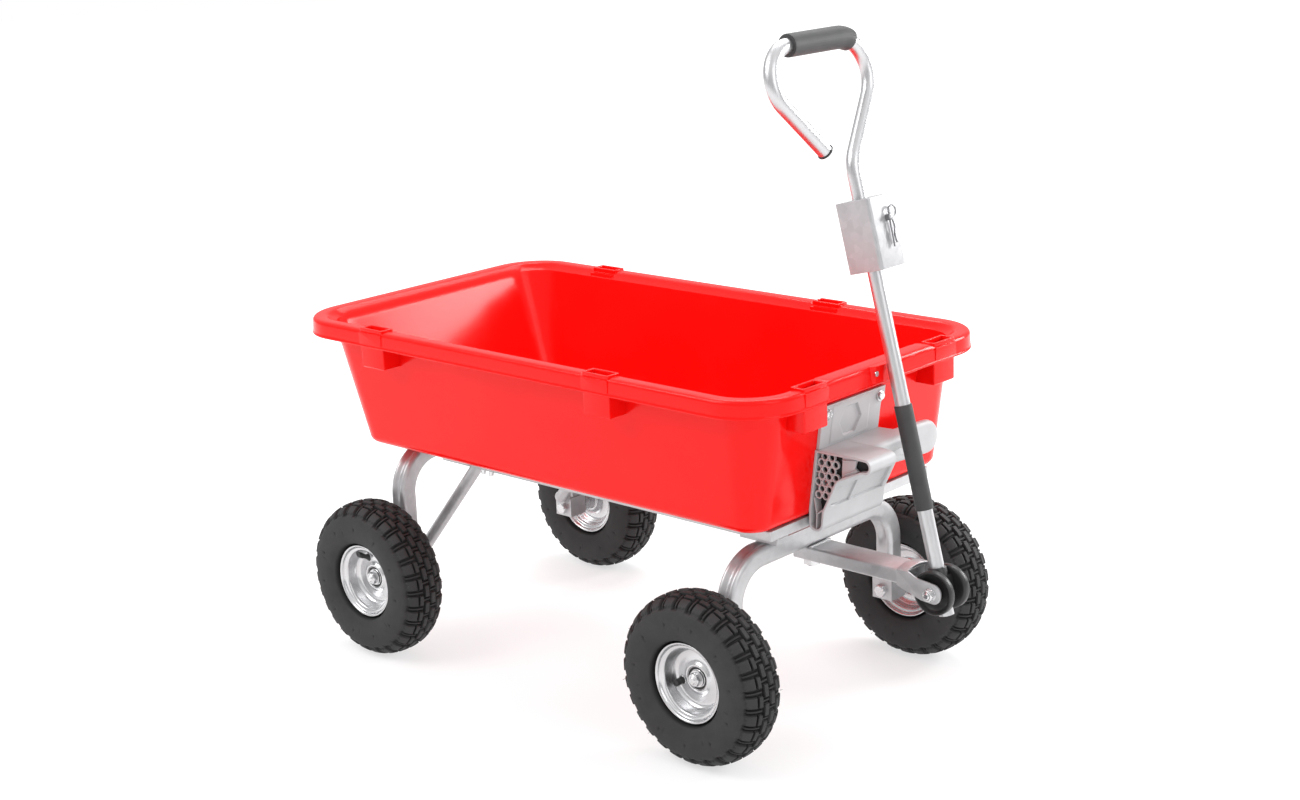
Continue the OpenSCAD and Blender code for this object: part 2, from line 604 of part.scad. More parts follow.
// ---- latch -----------------------------------------------------------------------------
latch_y0 = -108;
latch_y1 = latch_y0 + latch_w;
skin = 3.5;
bar_reach = 87;                 // lifting bar's middle in front of the tub wall
short_reach = 49;               // the nose's middle where the stored handle swings past
bar_z = 438;
bar_y1 = -47;
shaft = [front_wall(448) + 11.5, 398];
shaft_d = 10;
function arc(c, r, from, to, steps) =
    [for (i = [0:steps]) let (a = from + (to - from) * i / steps) c + r * [cos(a), sin(a)]];
// side outline of the housing, from the wall over the nose and down the front panel
function housing_line(reach, t) = let (x = front_wall(448)) concat(
    [[x + gap + t, 448.5 - t], [x + reach - 20, 449.5 - t]],
    arc([x + reach, bar_z], bar_d / 2 - t, 80, -100, 10),
    [[x + 43 + t / 2, 410 + t], [x + 37 - t, 404], [x + 21 - t, 378], [x + 14 - t, 358]],
    arc([front_wall(345) + 14, 339], 13 - t, 0, -160, 8),
    [[front_wall(358) + gap + t, 358]]);
module side_extrude(y0, y1) { translate([0, y1, 0]) rotate([90, 0, 0]) linear_extrude(y1 - y0) children(); }
web_y = latch_y0 + 6;
hook_y = -30;
module latch_housing() color(grey) difference() {
    union() {
        side_extrude(latch_y0, bar_y1) polygon(housing_line(bar_reach, 0));
        side_extrude(bar_y1 - skin, latch_y1) polygon(housing_line(short_reach, 0));
    }
    side_extrude(latch_y0 - 1, web_y) polygon(housing_line(bar_reach, skin));
    side_extrude(web_y + skin, bar_y1 - skin) polygon(housing_line(bar_reach, skin));
    side_extrude(bar_y1 - skin - 1, latch_y1 - skin) polygon(housing_line(short_reach, skin + 0.2));
    rod_y(shaft_d + 2 * run, latch_y0 - 5, latch_y1 + 5, shaft[0], shaft[1]);
    rod_y(bar_d - 2 * skin - 2, latch_y0 - 1, web_y + skin + 1, front_wall(448) + bar_reach, bar_z);
    box([front_rail_x - 4, hook_y - 6, 329], [shaft[0] - 12, hook_y + 6, 366]);
}
plate_y1 = latch_y1 + 4;
latch_bolt_y = [latch_y0 + 14, plate_y1 - 12];
latch_bolt_z = 500;
module latch_plate() color(grey) difference() {
    side_extrude(latch_y0 + 3, plate_y1) polygon([
        [front_wall(449) + gap, 449], [front_wall(449) + gap + 6, 449], [front_wall(513) + gap + 6, 513], [front_wall(513) + gap, 513]]);
    translate([front_wall(480) + gap + 5.2, -38, 480]) rotate([0, 90, 0]) cylinder(r = 25, h = 5, $fn = 6);
    box([420, plate_y1 - 9, 448], [520, plate_y1 + 1, 492]);
    for (y = latch_bolt_y) rod_x(7, 400, 520, y, latch_bolt_z);
}
module tub_bolts() color(silver) {
    for (y = latch_bolt_y) {
        rod_x(6.4, front_wall(latch_bolt_z) - tub_wall - 5, front_wall(latch_bolt_z) + gap + 7.6, y, latch_bolt_z);
        rod_x(13, front_wall(latch_bolt_z) + gap + 7.6, front_wall(latch_bolt_z) + gap + 11, y, latch_bolt_z);
        rod_x(13, front_wall(latch_bolt_z) - tub_wall - 5, front_wall(latch_bolt_z) - tub_wall - 1.4, y, latch_bolt_z);
    }
}
leaf_y = [lug_y[0] + lug_t + lug_gap, lug_y[1] - lug_gap - lug_t];
module tub_hinges() color(zinc) both_sides() {
    for (y = leaf_y) difference() {
        union() {
            lug(y, y + lug_t, 7.4);
            box([hinge[0] - 7.4, y, hinge[2]], [hinge[0] + 7.4, y + lug_t, tub_floor - 0.1]);
        }
        rod_y(hinge_pin_d + 2 * run, y - 1, y + lug_t + 1, hinge[0], hinge[2]);
    }
    box([hinge[0] - 16, leaf_y[0], tub_floor - 3.1], [hinge[0] + 36, leaf_y[1] + lug_t, tub_floor - 0.1]);
}
paddle_y0 = latch_y1 + 3;
paddle_y1 = paddle_y0 + 112;
module release_paddle() color(grey) difference() {
    hull() {
        for (z = [402, 436]) translate([shaft[0] + 9, paddle_y0 + 10, z]) sphere(d = 20, $fn = 28);
        translate([shaft[0] + 12, paddle_y1 - 26, 414]) rotate([0, 90, 0]) cylinder(r = 26, h = 12, center = true, $fn = 40);
        translate([shaft[0] + 12, paddle_y1 - 26, 414]) rotate([0, 90, 0]) cylinder(r = 20, h = 20, center = true, $fn = 40);
    }
    rod_y(shaft_d + 0.2, 0, paddle_y0 + 40, shaft[0], shaft[1]);
}
module latch_shaft() color(silver) {
    rod_y(shaft_d, latch_y0 + 2, paddle_y0 + 36, shaft[0], shaft[1]);
    side_extrude(hook_y - 4, hook_y + 4) polygon([[shaft[0] - 10, shaft[1] + 6], [shaft[0] + 3, shaft[1] + 8],
        [shaft[0] + 6, shaft[1] - 6], [shaft[0] - 16, 352], [shaft[0] - 18, 336.5], [front_rail_x + 1.5, 336.5],
        [front_rail_x + 1.5, 345], [shaft[0] - 22.5, 352]]);
}

placed() side_rails();
placed() cross_members();
placed() floor_beams();
placed() kingpin_bolster();
placed() rear_arch();
placed() rear_braces();
placed() rear_axle_brackets();
placed() rear_axle_bolts();
placed() hinge_lugs();
placed() hinge_pins();
placed() kingpin();
placed() frame_bolts();
placed() front_arch();
placed() front_axle_brackets();
placed() front_axle_bolts();
placed() tongue();
placed() clevis();
placed() pivot_bolt();
placed() thrust_washer();
placed() lower_tube();
placed() handle_sleeve();
placed() pivot_yoke();
placed() hitch_bracket();
placed() hitch_pin();
placed() upper_tube();
placed() hand_grip();
placed() tube_end_cap();
placed() hitch_clip();
placed() tub();
placed() handle_clip();
placed() clip_rivets();
placed() latch_plate();
placed() latch_housing();
placed() tub_hinges();
placed() tub_bolts();
placed() release_paddle();
placed() latch_shaft();
for (w = [["rear_right", -1, -1], ["rear_left", -1, 1], ["front_right", 1, -1], ["front_left", 1, 1]]) {
    placed() wheel_at(w[1] * axle_x, w[2]) tyre();
    placed() wheel_at(w[1] * axle_x, w[2]) rim_outer();
    placed() wheel_at(w[1] * axle_x, w[2]) rim_inner();
    placed() wheel_at(w[1] * axle_x, w[2]) hub();
    placed() wheel_at(w[1] * axle_x, w[2]) bearings();
}
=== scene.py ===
import math
import bpy
import bmesh
import numpy as np
from mathutils import Matrix, Vector


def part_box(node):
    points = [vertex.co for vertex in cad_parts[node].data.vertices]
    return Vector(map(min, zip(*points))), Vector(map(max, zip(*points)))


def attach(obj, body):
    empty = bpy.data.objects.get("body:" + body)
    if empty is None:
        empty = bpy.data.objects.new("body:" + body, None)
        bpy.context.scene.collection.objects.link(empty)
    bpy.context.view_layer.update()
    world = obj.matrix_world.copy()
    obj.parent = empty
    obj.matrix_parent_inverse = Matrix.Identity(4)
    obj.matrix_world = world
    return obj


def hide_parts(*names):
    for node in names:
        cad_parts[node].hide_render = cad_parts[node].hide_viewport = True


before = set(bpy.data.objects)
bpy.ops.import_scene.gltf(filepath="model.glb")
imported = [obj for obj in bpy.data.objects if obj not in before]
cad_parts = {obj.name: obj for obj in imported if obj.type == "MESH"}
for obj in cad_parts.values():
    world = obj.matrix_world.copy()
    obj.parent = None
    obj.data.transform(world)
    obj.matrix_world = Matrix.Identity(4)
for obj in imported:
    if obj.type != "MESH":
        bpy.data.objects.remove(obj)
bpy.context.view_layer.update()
print("frame loaded:", len(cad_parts), "CAD nodes")


def boxMiddle(node):
    # half the sum of a node's lowest and highest corners
    low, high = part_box(node)
    return (low + high) / 2


# Pieces are worked out in millimetres about the point midway between the axles,
# on the ground; makePiece brings them into the frame.
mm = 0.001
cartMiddle = (boxMiddle("rear_arch").x + boxMiddle("front_arch").x) / 2
axleX = (boxMiddle("front_arch").x - boxMiddle("rear_arch").x) / 2 / mm


# shapes

def unit(v):
    # each vector divided by its own length
    return v / np.maximum(np.linalg.norm(v, axis=-1, keepdims=True), 1e-9)


def ease(x, low, high):
    # 0 below low, 1 above high, and an S curve 3t^2 - 2t^3 between them
    t = np.clip((x - low) / (high - low), 0, 1)
    return t * t * (3 - 2 * t)


def mix(a, b, k):
    # a at k = 0, b at k = 1, and a straight line between them
    return a + (b - a) * k


def gridQuads(rows, cols, wrapRows, wrapCols):
    # corner numbers of every four-sided face of a rows by cols grid
    r, c = np.meshgrid(np.arange(rows if wrapRows else rows - 1),
                       np.arange(cols if wrapCols else cols - 1), indexing="ij")
    r2, c2 = (r + 1) % rows, (c + 1) % cols
    return np.stack([r * cols + c, r2 * cols + c, r2 * cols + c2, r * cols + c2], -1).reshape(-1, 4)


class Shells:
    # collects grids of points until a piece is made from them
    def __init__(self):
        self.points, self.faces, self.tints, self.count = [], [], [], 0

    def grid(self, points, wrapRows=False, wrapCols=True, caps=True, tint=0.0):
        rows, cols = points.shape[:2]
        self.faces += (gridQuads(rows, cols, wrapRows, wrapCols) + self.count).tolist()
        if caps and not wrapRows:
            self.faces += [list(range(self.count, self.count + cols)),
                           list(range(self.count + (rows - 1) * cols, self.count + rows * cols))]
        self.points.append(points.reshape(-1, 3))
        self.tints.append(np.broadcast_to(np.asarray(tint, float), (rows, cols)).ravel())
        self.count += rows * cols
        return self


def makePiece(name, shells, body, material, replaces=(), sharp=34, paintedShadeName=None):
    # millimetres become metres, and the cart's middle is added along X
    mesh = bpy.data.meshes.new(name)
    points = np.concatenate(shells.points) * mm
    points[:, 0] += cartMiddle
    mesh.from_pydata(points.tolist(), [], shells.faces)
    # painted shade, for pieces that carry it, goes on as a point attribute for the material to read
    if paintedShadeName:
        layer = mesh.attributes.new(paintedShadeName, "FLOAT", "POINT")
        layer.data.foreach_set("value", np.concatenate(shells.tints).astype(np.float32))
    bm = bmesh.new()
    bm.from_mesh(mesh)
    bmesh.ops.recalc_face_normals(bm, faces=bm.faces)
    bm.to_mesh(mesh)
    bm.free()
    mesh.shade_smooth()
    mesh.set_sharp_from_angle(angle=math.radians(sharp))
    mesh.materials.append(material)
    piece = bpy.data.objects.new(name, mesh)
    bpy.context.scene.collection.objects.link(piece)
    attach(piece, body)
    if replaces:
        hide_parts(*replaces)
    return piece


def roundCorners(corners, radius, steps=6, closed=True):
    # each corner becomes a circular arc, as a weighted quadratic curve through its two cut points
    c = np.asarray(corners, float)
    before, after = np.roll(c, 1, 0), np.roll(c, -1, 0)
    if not closed:
        before[0], after[-1] = 2 * c[0] - c[1], 2 * c[-1] - c[-2]
    u, v = unit(before - c), unit(after - c)
    half = np.arccos(np.clip((u * v).sum(-1), -1, 1)) / 2
    cut = (np.broadcast_to(radius, len(c)) / np.tan(half))[:, None]
    a, b = (c + u * cut)[:, None], (c + v * cut)[:, None]
    t = np.linspace(0, 1, steps)[None, :, None]
    w = np.sin(half)[:, None, None]
    line = (((1 - t) ** 2 * a + 2 * t * (1 - t) * w * c[:, None] + t ** 2 * b)
            / ((1 - t) ** 2 + 2 * t * (1 - t) * w + t ** 2)).reshape(-1, c.shape[1])
    return line if closed else np.concatenate([c[:1], line[steps:-steps], c[-1:]])


def rectangle(a0, a1, b0, b1, radius=2.0, steps=5):
    # four corners, each turned into an arc
    return roundCorners([[a0, b0], [a1, b0], [a1, b1], [a0, b1]], radius, steps)


def inset(line, depth):
    # every corner moves inwards along the mean normal of its two edges
    before, after = unit(line - np.roll(line, 1, 0)), unit(np.roll(line, -1, 0) - line)
    area = (line[:, 0] * np.roll(line[:, 1], -1) - np.roll(line[:, 0], -1) * line[:, 1]).sum()
    n0, n1 = (np.stack([-e[:, 1], e[:, 0]], 1) for e in (before, after))
    mean = (n0 + n1) / np.maximum(1 + (n0 * n1).sum(1), 0.3)[:, None]
    return line + depth * mean * np.sign(area)


def stand(line, height, axis):
    # a flat outline at one height along an axis, as points in space
    h = np.full(len(line), float(height))
    order = {"z": (line[:, 0], line[:, 1], h), "y": (line[:, 0], h, line[:, 1]), "x": (h, line[:, 0], line[:, 1])}
    return np.stack(order[axis], -1)


def slabRows(line, low, high, edge, axis):
    # the outline carried from low to high, with both its edges rounded by quarter circles
    turn = np.linspace(0, math.pi / 2, 4)
    steps = [(edge * (1 - math.sin(a)), low + edge * (1 - math.cos(a))) for a in turn]
    steps += [(edge * (1 - math.sin(a)), high - edge * (1 - math.cos(a))) for a in turn[::-1]]
    return np.stack([stand(inset(line, d), h, axis) for d, h in steps])


def slab(shells, line, low, high, edge=0.6, axis="z", place=None):
    # a flat outline given a thickness along one axis
    rows = slabRows(np.asarray(line, float), min(low, high), max(low, high), edge, axis)
    return shells.grid(rows if place is None else place(rows))


def frameSlab(shells, outer, inner, low, high, edge=0.6, axis="z", place=None):
    # a slab with a hole: the outer wall's rows going up and the hole's rows coming down again
    steps = [(edge, high), (0.3 * edge, high - 0.3 * edge), (0, high - edge), (0, low + edge), (edge, low)]
    hole = np.stack([stand(inset(inner, -grow), height, axis) for grow, height in steps])
    rows = np.concatenate([slabRows(outer, low, high, edge, axis), hole])
    return shells.grid(rows if place is None else place(rows), wrapRows=True)


def block(shells, low, high, edge=0.6, corner=1.5, axis="z", place=None):
    # a box between two corners, with its upright edges rounded
    i, j, k = {"z": (0, 1, 2), "y": (0, 2, 1), "x": (1, 2, 0)}[axis]
    return slab(shells, rectangle(low[i], high[i], low[j], high[j], corner), low[k], high[k], edge, axis, place)


def lathe(shells, profile, place=None, steps=96, closed=False, tint=0.0):
    # a profile of radius and height turned once round the Z axis
    p, a = np.asarray(profile, float), np.linspace(0, 2 * math.pi, steps, endpoint=False)
    rows = np.stack([p[:, :1] * np.cos(a), p[:, :1] * np.sin(a), np.repeat(p[:, 1:], steps, 1)], -1)
    return shells.grid(rows if place is None else place(rows), wrapRows=closed, tint=tint)


def sweep(shells, path, ring, side, closed=False, place=None, tint=0.0):
    # the ring's first number goes along side, its second along side x heading
    heading = unit(np.gradient(path, axis=0))
    if closed:
        heading = unit(np.roll(path, -1, 0) - np.roll(path, 1, 0))
    side = np.broadcast_to(np.asarray(side, float), path.shape)
    up = unit(np.cross(heading, side))
    ring = np.broadcast_to(ring, (len(path),) + np.shape(ring)[-2:])
    rows = path[:, None] + ring[..., :1] * side[:, None] + ring[..., 1:] * up[:, None]
    return shells.grid(rows if place is None else place(rows), wrapRows=closed, tint=tint)


def circle(radius, steps=32):
    # radius times the cosine and the sine of an angle
    a = np.linspace(0, 2 * math.pi, steps, endpoint=False)
    return radius * np.stack([np.cos(a), np.sin(a)], -1)


def roundEdge(radius, height, edge, bottom=0.0):
    # half profile of a turned disc from its axis, with rounded rims
    t = np.linspace(0, math.pi / 2, 5)
    low = np.stack([radius - edge + edge * np.sin(t), bottom + edge - edge * np.cos(t)], -1)
    high = np.stack([radius - edge + edge * np.cos(t), height - edge + edge * np.sin(t)], -1)
    return np.concatenate([low, high])


def hexHead(shells, across, low, high, place, bore=0.0, dome=1.4, steps=72):
    # a hexagon whose radius is held under a cone at its top, as a nut's chamfer cuts it
    a = np.linspace(0, 2 * math.pi, steps, endpoint=False)
    flat = across / 2 / np.cos((a % (math.pi / 3)) - math.pi / 6)
    corner = across / 2 / math.cos(math.pi / 6)
    levels = [(low, flat), (high - dome, flat), (high - dome * 0.45, np.minimum(flat, corner - dome * 0.65)),
              (high, np.minimum(flat, corner - dome * 1.5)), (high, np.full(steps, max(bore, across * 0.12)))]
    if bore:
        levels += [(high - 1.5, np.full(steps, bore))]
    rows = np.stack([np.stack([r * np.cos(a), r * np.sin(a), np.full(steps, float(h))], -1) for h, r in levels])
    return shells.grid(place(rows))


def threadEnd(shells, radius, low, high, place, pitch=1.75):
    # the end of a bolt: one shallow ridge for each turn of the thread, and a chamfered tip
    n = int((high - low - 1.5) / pitch * 4)
    z = np.linspace(low, high - 1.5, max(n, 5))
    r = radius - 0.35 + 0.35 * np.cos(2 * math.pi * (z - low) / pitch)
    tip = np.array([[radius - 0.4, high - 1.2], [radius - 1.6, high], [radius * 0.2, high]])
    return lathe(shells, np.concatenate([np.stack([r, z], -1), tip]), place, 40)


# materials

class Value:
    # a socket whose arithmetic adds Math nodes
    def __init__(self, maker, socket):
        self.maker, self.socket = maker, socket

    def math(self, operation, a, b):
        return self.maker.add("ShaderNodeMath", {"operation": operation}, {0: a, 1: b})

    def __add__(self, other): return self.math("ADD", self, other)
    def __radd__(self, other): return self.math("ADD", other, self)
    def __sub__(self, other): return self.math("SUBTRACT", self, other)
    def __rsub__(self, other): return self.math("SUBTRACT", other, self)
    def __mul__(self, other): return self.math("MULTIPLY", self, other)
    def __rmul__(self, other): return self.math("MULTIPLY", other, self)


class Finish:
    # one material: a Principled shader, the nodes that feed it, and its object coordinates
    def __init__(self, name):
        self.material = bpy.data.materials.new(name)
        self.material.use_nodes = True
        self.nodes, self.links = self.material.node_tree.nodes, self.material.node_tree.links
        self.shader = self.nodes["Principled BSDF"]
        self.coords = self.add("ShaderNodeTexCoord", out="Object")

    def add(self, kind, settings=None, sockets=None, out=0):
        node = self.nodes.new(kind)
        for key, value in (settings or {}).items():
            if key == "stops":
                ramp = node.color_ramp.elements
                while len(ramp) < len(value):
                    ramp.new(0.5)
                for stop, (place, colour) in zip(ramp, value):
                    stop.position, stop.color = place, (*colour, 1) if np.ndim(colour) else (colour,) * 3 + (1,)
            else:
                setattr(node, key, value)
        for key, value in (sockets or {}).items():
            if isinstance(value, Value):
                self.links.new(value.socket, node.inputs[key])
            else:
                node.inputs[key].default_value = value
        return Value(self, node.outputs[out])

    def noise(self, scale, detail=2.0, roughness=0.5, coords=None, distortion=0.0):
        return self.add("ShaderNodeTexNoise", {}, {"Vector": coords or self.coords, "Scale": scale, "Detail": detail,
                                                   "Roughness": roughness, "Distortion": distortion})

    def stretch(self, scale, turn=(0, 0, 0)):
        return self.add("ShaderNodeMapping", {}, {"Vector": self.coords, "Scale": scale, "Rotation": turn})

    def ramp(self, factor, stops):
        return self.add("ShaderNodeValToRGB", {"stops": stops}, {"Fac": factor})

    def mixColours(self, factor, a, b):
        return self.add("ShaderNodeMix", {"data_type": "RGBA"}, {0: factor, 6: a, 7: b}, out=2)

    def bump(self, height, strength, distance):
        return self.add("ShaderNodeBump", {}, {"Height": height, "Strength": strength, "Distance": distance})

    def set(self, **values):
        for key, value in values.items():
            socket = self.shader.inputs[{"colour": "Base Color", "roughness": "Roughness", "metallic": "Metallic",
                                         "coat": "Coat Weight", "coatRoughness": "Coat Roughness", "normal": "Normal",
                                         "specular": "Specular IOR Level", "emission": "Emission Color"}[key]]
            if isinstance(value, Value):
                self.links.new(value.socket, socket)
            else:
                socket.default_value = value
        return self.material


def redPlasticFinish():
    # glossy moulding: two close reds in broad clouds, faint scuffs in the gloss and a fine orange peel
    f = Finish("redPlastic")
    look = dict(deep=(0.84, 0.004, 0.003), bright=(0.96, 0.008, 0.006), roughness=0.14, spread=0.10)
    cloud = f.noise(3.0, 3, 0.55)
    peel = f.noise(420, 2)
    scuff = f.noise(14, 6, 0.7, f.stretch((1, 1, 0.4)))
    return f.set(colour=f.ramp(cloud, [(0.3, look["deep"]), (0.7, look["bright"])]),
                 roughness=look["roughness"] + scuff * look["spread"], specular=0.18, coat=0.04, coatRoughness=0.04,
                 normal=f.bump(peel * 0.5 + f.noise(60, 2) * 0.5, 0.10, 0.0004))


def metalFinish(name, colour, roughness, spread, grain, turn=(0, 0, 0), metallic=1.0, spangle=0.0, bump=0.06):
    # drawn or plated steel: fine lines along one direction, cloudy gloss, and pale spangles if galvanised
    f = Finish(name)
    cloud = f.noise(9, 5, 0.6)
    lines = f.noise(1.0, 3, 0.6, f.stretch(grain, turn))
    shade = cloud * 0.5 + lines * 0.5
    if spangle:
        cells = f.add("ShaderNodeTexVoronoi", {"feature": "F1"}, {"Vector": f.coords, "Scale": 95.0}, out="Color")
        shade = shade * (1 - spangle) + f.add("ShaderNodeSeparateColor", {}, {0: cells}) * spangle
    low, high = (tuple(min(c * k, 1) for c in colour) for k in (0.88, 1.06))
    return f.set(colour=f.ramp(shade, [(0.3, low), (0.7, high)]), roughness=roughness + shade * spread - spread / 2,
                 metallic=metallic, normal=f.bump(lines, bump, 0.0003))


def foamFinish():
    # closed-cell foam: fine pores in the surface and soft patches in its tone
    f = Finish("foamGrip")
    pores = f.noise(1500, 3, 0.7)
    patches = f.noise(40, 3)
    return f.set(colour=f.ramp(patches, [(0.3, (0.022, 0.022, 0.023)), (0.75, (0.036, 0.036, 0.037))]),
                 roughness=0.50 + pores * 0.2, specular=0.7, normal=f.bump(pores, 0.28, 0.0006))


def moulded(name, low, high, roughness, bumpScale=900, bump=0.12, specular=0.5):
    # matt injection-moulded plastic: cloudy tone and a fine sparked grain
    f = Finish(name)
    cloud, grain = f.noise(11, 4, 0.6), f.noise(bumpScale, 2)
    return f.set(colour=f.ramp(cloud, [(0.3, low), (0.72, high)]), roughness=roughness + grain * 0.1,
                 specular=specular, normal=f.bump(grain, bump, 0.0004))


def rubberFinish():
    # the attribute read here is painted shade: the rubber turns near black down in the tread's grooves and pits and on
    # the bead lips under the rim flanges
    f = Finish("tyreRubber")
    depth = f.add("ShaderNodeAttribute", {"attribute_name": "groove"}, out="Fac")
    cloud, grain = f.noise(26, 5, 0.65), f.noise(700, 3, 0.6)
    tone = f.ramp(cloud, [(0.25, (0.020, 0.020, 0.021)), (0.75, (0.032, 0.032, 0.033))])
    return f.set(colour=f.mixColours(depth, tone, (0.006, 0.006, 0.006, 1)), roughness=0.56 + grain * 0.22,
                 specular=0.4, normal=f.bump(grain * 0.6 + cloud * 0.4, 0.22, 0.0008))


finishes = {
    "redPlastic": redPlasticFinish(),
    "zincSteel": metalFinish("zincSteel", (0.54, 0.54, 0.55), 0.40, 0.12, (60, 60, 60), metallic=0.7, spangle=0.2),
    "brightSteel": metalFinish("brightSteel", (0.70, 0.70, 0.71), 0.24, 0.10, (120, 20, 120), metallic=0.9),
    "rimSteel": metalFinish("rimSteel", (0.66, 0.66, 0.67), 0.25, 0.05, (8, 8, 8), metallic=0.92, bump=0.02),
    "handleTube": metalFinish("handleTube", (0.60, 0.60, 0.61), 0.36, 0.08, (900, 900, 8), (0, math.radians(13.8), 0)),
    "foamGrip": foamFinish(),
    "blackPlastic": moulded("blackPlastic", (0.012, 0.012, 0.012), (0.024, 0.024, 0.025), 0.34),
    # painted shade: near black, for the inside of the latch housing where the grey plastic lies in shadow
    "paintedShadeBlack": moulded("paintedShadeBlack", (0.006, 0.006, 0.006), (0.012, 0.012, 0.012), 0.7),
    "greyPlastic": moulded("greyPlastic", (0.42, 0.42, 0.43), (0.50, 0.50, 0.51), 0.40),
    "tyreRubber": rubberFinish(),
}
print("finishes made:", len(finishes))

# CAD nodes that keep their own shape
for names, finish in (
        (("kingpin_bolster", "rear_braces", "hinge_lugs", "tub_hinges", "cross_members",
          "rear_axle_brackets", "front_axle_brackets"), "zincSteel"),
        (("hinge_pins", "thrust_washer", "frame_bolts", "kingpin", "clip_rivets"), "brightSteel")):
    for nodeName in names:
        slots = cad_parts[nodeName].data.materials
        slots.clear()
        slots.append(finishes[finish])


# tub
tubSizes = dict(rear=-505.5, front=492.5, halfWidth=283.0, rimTop=557.0, floor=345.3, wall=4.0, lip=30.0, skirt=27.0,
                rimCorner=90.0, baseRear=-413.0, baseFront=436.0, baseHalf=228.0, baseCorner=39.0, foot=15.0,
                sidePockets=(-303.5, 188.0), frontPocketY=154.0, pocketInset=15.0, holeLength=44.0, holeWidth=17.0,
                pocketWall=4.0, pocketRise=3.0, pocketDepth=61.0, raisedHalf=120.0, raisedRise=2.4, raisedReach=8.0)
wallTop = tubSizes["rimTop"] - 5


def wallShare(z):
    # 0 where the wall leaves the foot's curve, 1 at the lip
    low = tubSizes["floor"] + tubSizes["foot"]
    return (z - low) / (wallTop - low)


def frontWall(z):
    # X of the front wall's outer face at a height: a straight slope between foot and lip
    return mix(tubSizes["baseFront"], tubSizes["front"] - tubSizes["lip"] + 2, wallShare(z))


def sideWall(z):
    # Y of the side wall's outer face at a height, in the same way
    return mix(tubSizes["baseHalf"], tubSizes["halfWidth"] - tubSizes["lip"] - tubSizes["wall"] + 1, wallShare(z))


def ringPlan(cornerSteps=18, longSteps=40, shortSteps=26):
    # where each point of a rounded rectangle sits: its corner, as -1 to 1 each way, and its angle on the corner
    along, across, angle = [], [], []
    for sx, sy, start, tx, ty, n in ((1, 1, 0, -1, 1, longSteps), (-1, 1, 90, -1, -1, shortSteps),
                                     (-1, -1, 180, 1, -1, longSteps), (1, -1, 270, 1, 1, shortSteps)):
        a = np.radians(np.linspace(start, start + 90, cornerSteps + 1))
        t = np.linspace(0, 1, n + 1)[1:-1]
        along += [np.full(len(a), sx), mix(sx, tx, t)]
        across += [np.full(len(a), sy), mix(sy, ty, t)]
        angle += [a, np.full(len(t), a[-1])]
    return np.concatenate(along), np.concatenate(across), np.concatenate(angle)


def tubRings(rows):
    # rows of rear, front, half width, corner radius and height, each carried round the rounded rectangle
    along, across, angle = ringPlan()
    x0, x1, hw, r, z = (np.array(c, float)[:, None] for c in zip(*rows))
    x = (x0 + x1) / 2 + along * ((x1 - x0) / 2 - r) + r * np.cos(angle)
    y = across * (hw - r) + r * np.sin(angle)
    return np.stack([x, y, np.broadcast_to(z, x.shape)], -1)


def tubRows():
    # the tub's section as one line: foot and wall outside, under the lip, round the skirt, over the top, down inside
    s = tubSizes
    def wall(z, depth=0.0):
        k = wallShare(z)
        return (mix(s["baseRear"], s["rear"] + s["lip"], k) + depth, mix(s["baseFront"], s["front"] - s["lip"] + 2, k) - depth,
                sideWall(z) - depth, max(mix(s["baseCorner"], s["rimCorner"] - 24, k) - depth, 4), z)
    def rim(grow, z):
        return (s["rear"] - grow, s["front"] + grow, s["halfWidth"] + grow, s["rimCorner"] + grow, z)
    def foot(depth, r, a, low):
        d = r * (1 - math.cos(a))
        return (s["baseRear"] + depth + d, s["baseFront"] - depth - d, s["baseHalf"] - depth - d,
                max(s["baseCorner"] - depth - d, 6), low + r * (1 - math.sin(a)))
    quarter = np.linspace(math.pi / 2, 0, 8)
    top, skirtLow = s["rimTop"], s["rimTop"] - s["skirt"]
    rows = [foot(0, s["foot"], a, s["floor"]) for a in quarter]
    rows += [wall(z) for z in np.linspace(s["floor"] + s["foot"] + 8, wallTop - 8, 9)]
    rows += [rim(-s["lip"] + 5, wallTop - 3), rim(-s["lip"] + 8, wallTop - 2), rim(-4.5, wallTop - 2), rim(-3.2, wallTop - 3.5)]
    rows += [rim(-3.0, skirtLow + 6), rim(-2.8, skirtLow + 0.8), rim(-2.2, skirtLow), rim(-0.8, skirtLow),
             rim(-0.1, skirtLow + 0.7),
             rim(0, skirtLow + 1.6), rim(-0.1, skirtLow + 2.6), rim(-0.9, skirtLow + 3.6), rim(-1.0, skirtLow + 5)]
    rows += [rim(-1.8 - 6.5 * (1 - math.cos(a)), top - 6.5 + 6.5 * math.sin(a)) for a in np.linspace(0, math.pi / 2, 7)]
    rows += [rim(-12, top), rim(-17, top - 0.1), rim(-s["lip"] + 9, top - 0.3), rim(-s["lip"] + 6, top - 1.0),
             rim(-s["lip"] + 3.6, top - 2.4), rim(-s["lip"] + 2.0, top - 4.6)]
    rows += [wall(z, s["wall"]) for z in np.linspace(wallTop - 6, s["floor"] + s["foot"] + 8, 14)]
    rows += [foot(s["wall"], s["foot"] + 10, a, s["floor"] + s["wall"]) for a in quarter[::-1]]
    return rows


def tubShell():
    # the rings, with the front lip's middle raised by two S curves along and one across
    rings = tubRings(tubRows())
    x, y, z = (rings[..., i].copy() for i in range(3))
    s = tubSizes
    lastUnderLip = 32   # rings before this one lie outside the tub or under its lip
    topRows = (np.arange(len(rings)) >= lastUnderLip) & (z.mean(1) > s["rimTop"] - 60)
    onFront = ease(x, s["front"] - 60, s["front"] - 50) * (1 - ease(np.abs(y), s["raisedHalf"], s["raisedHalf"] + 9))
    fade = ease(z, s["rimTop"] - 40, s["rimTop"] - 4) * topRows[:, None]
    inner = ease(-(x - s["front"]), 8, 24)
    rings[..., 0] -= onFront * fade * inner * s["raisedReach"]
    rings[..., 2] += onFront * fade * ease(z, s["rimTop"] - 8, s["rimTop"] - 1) * s["raisedRise"]
    return rings


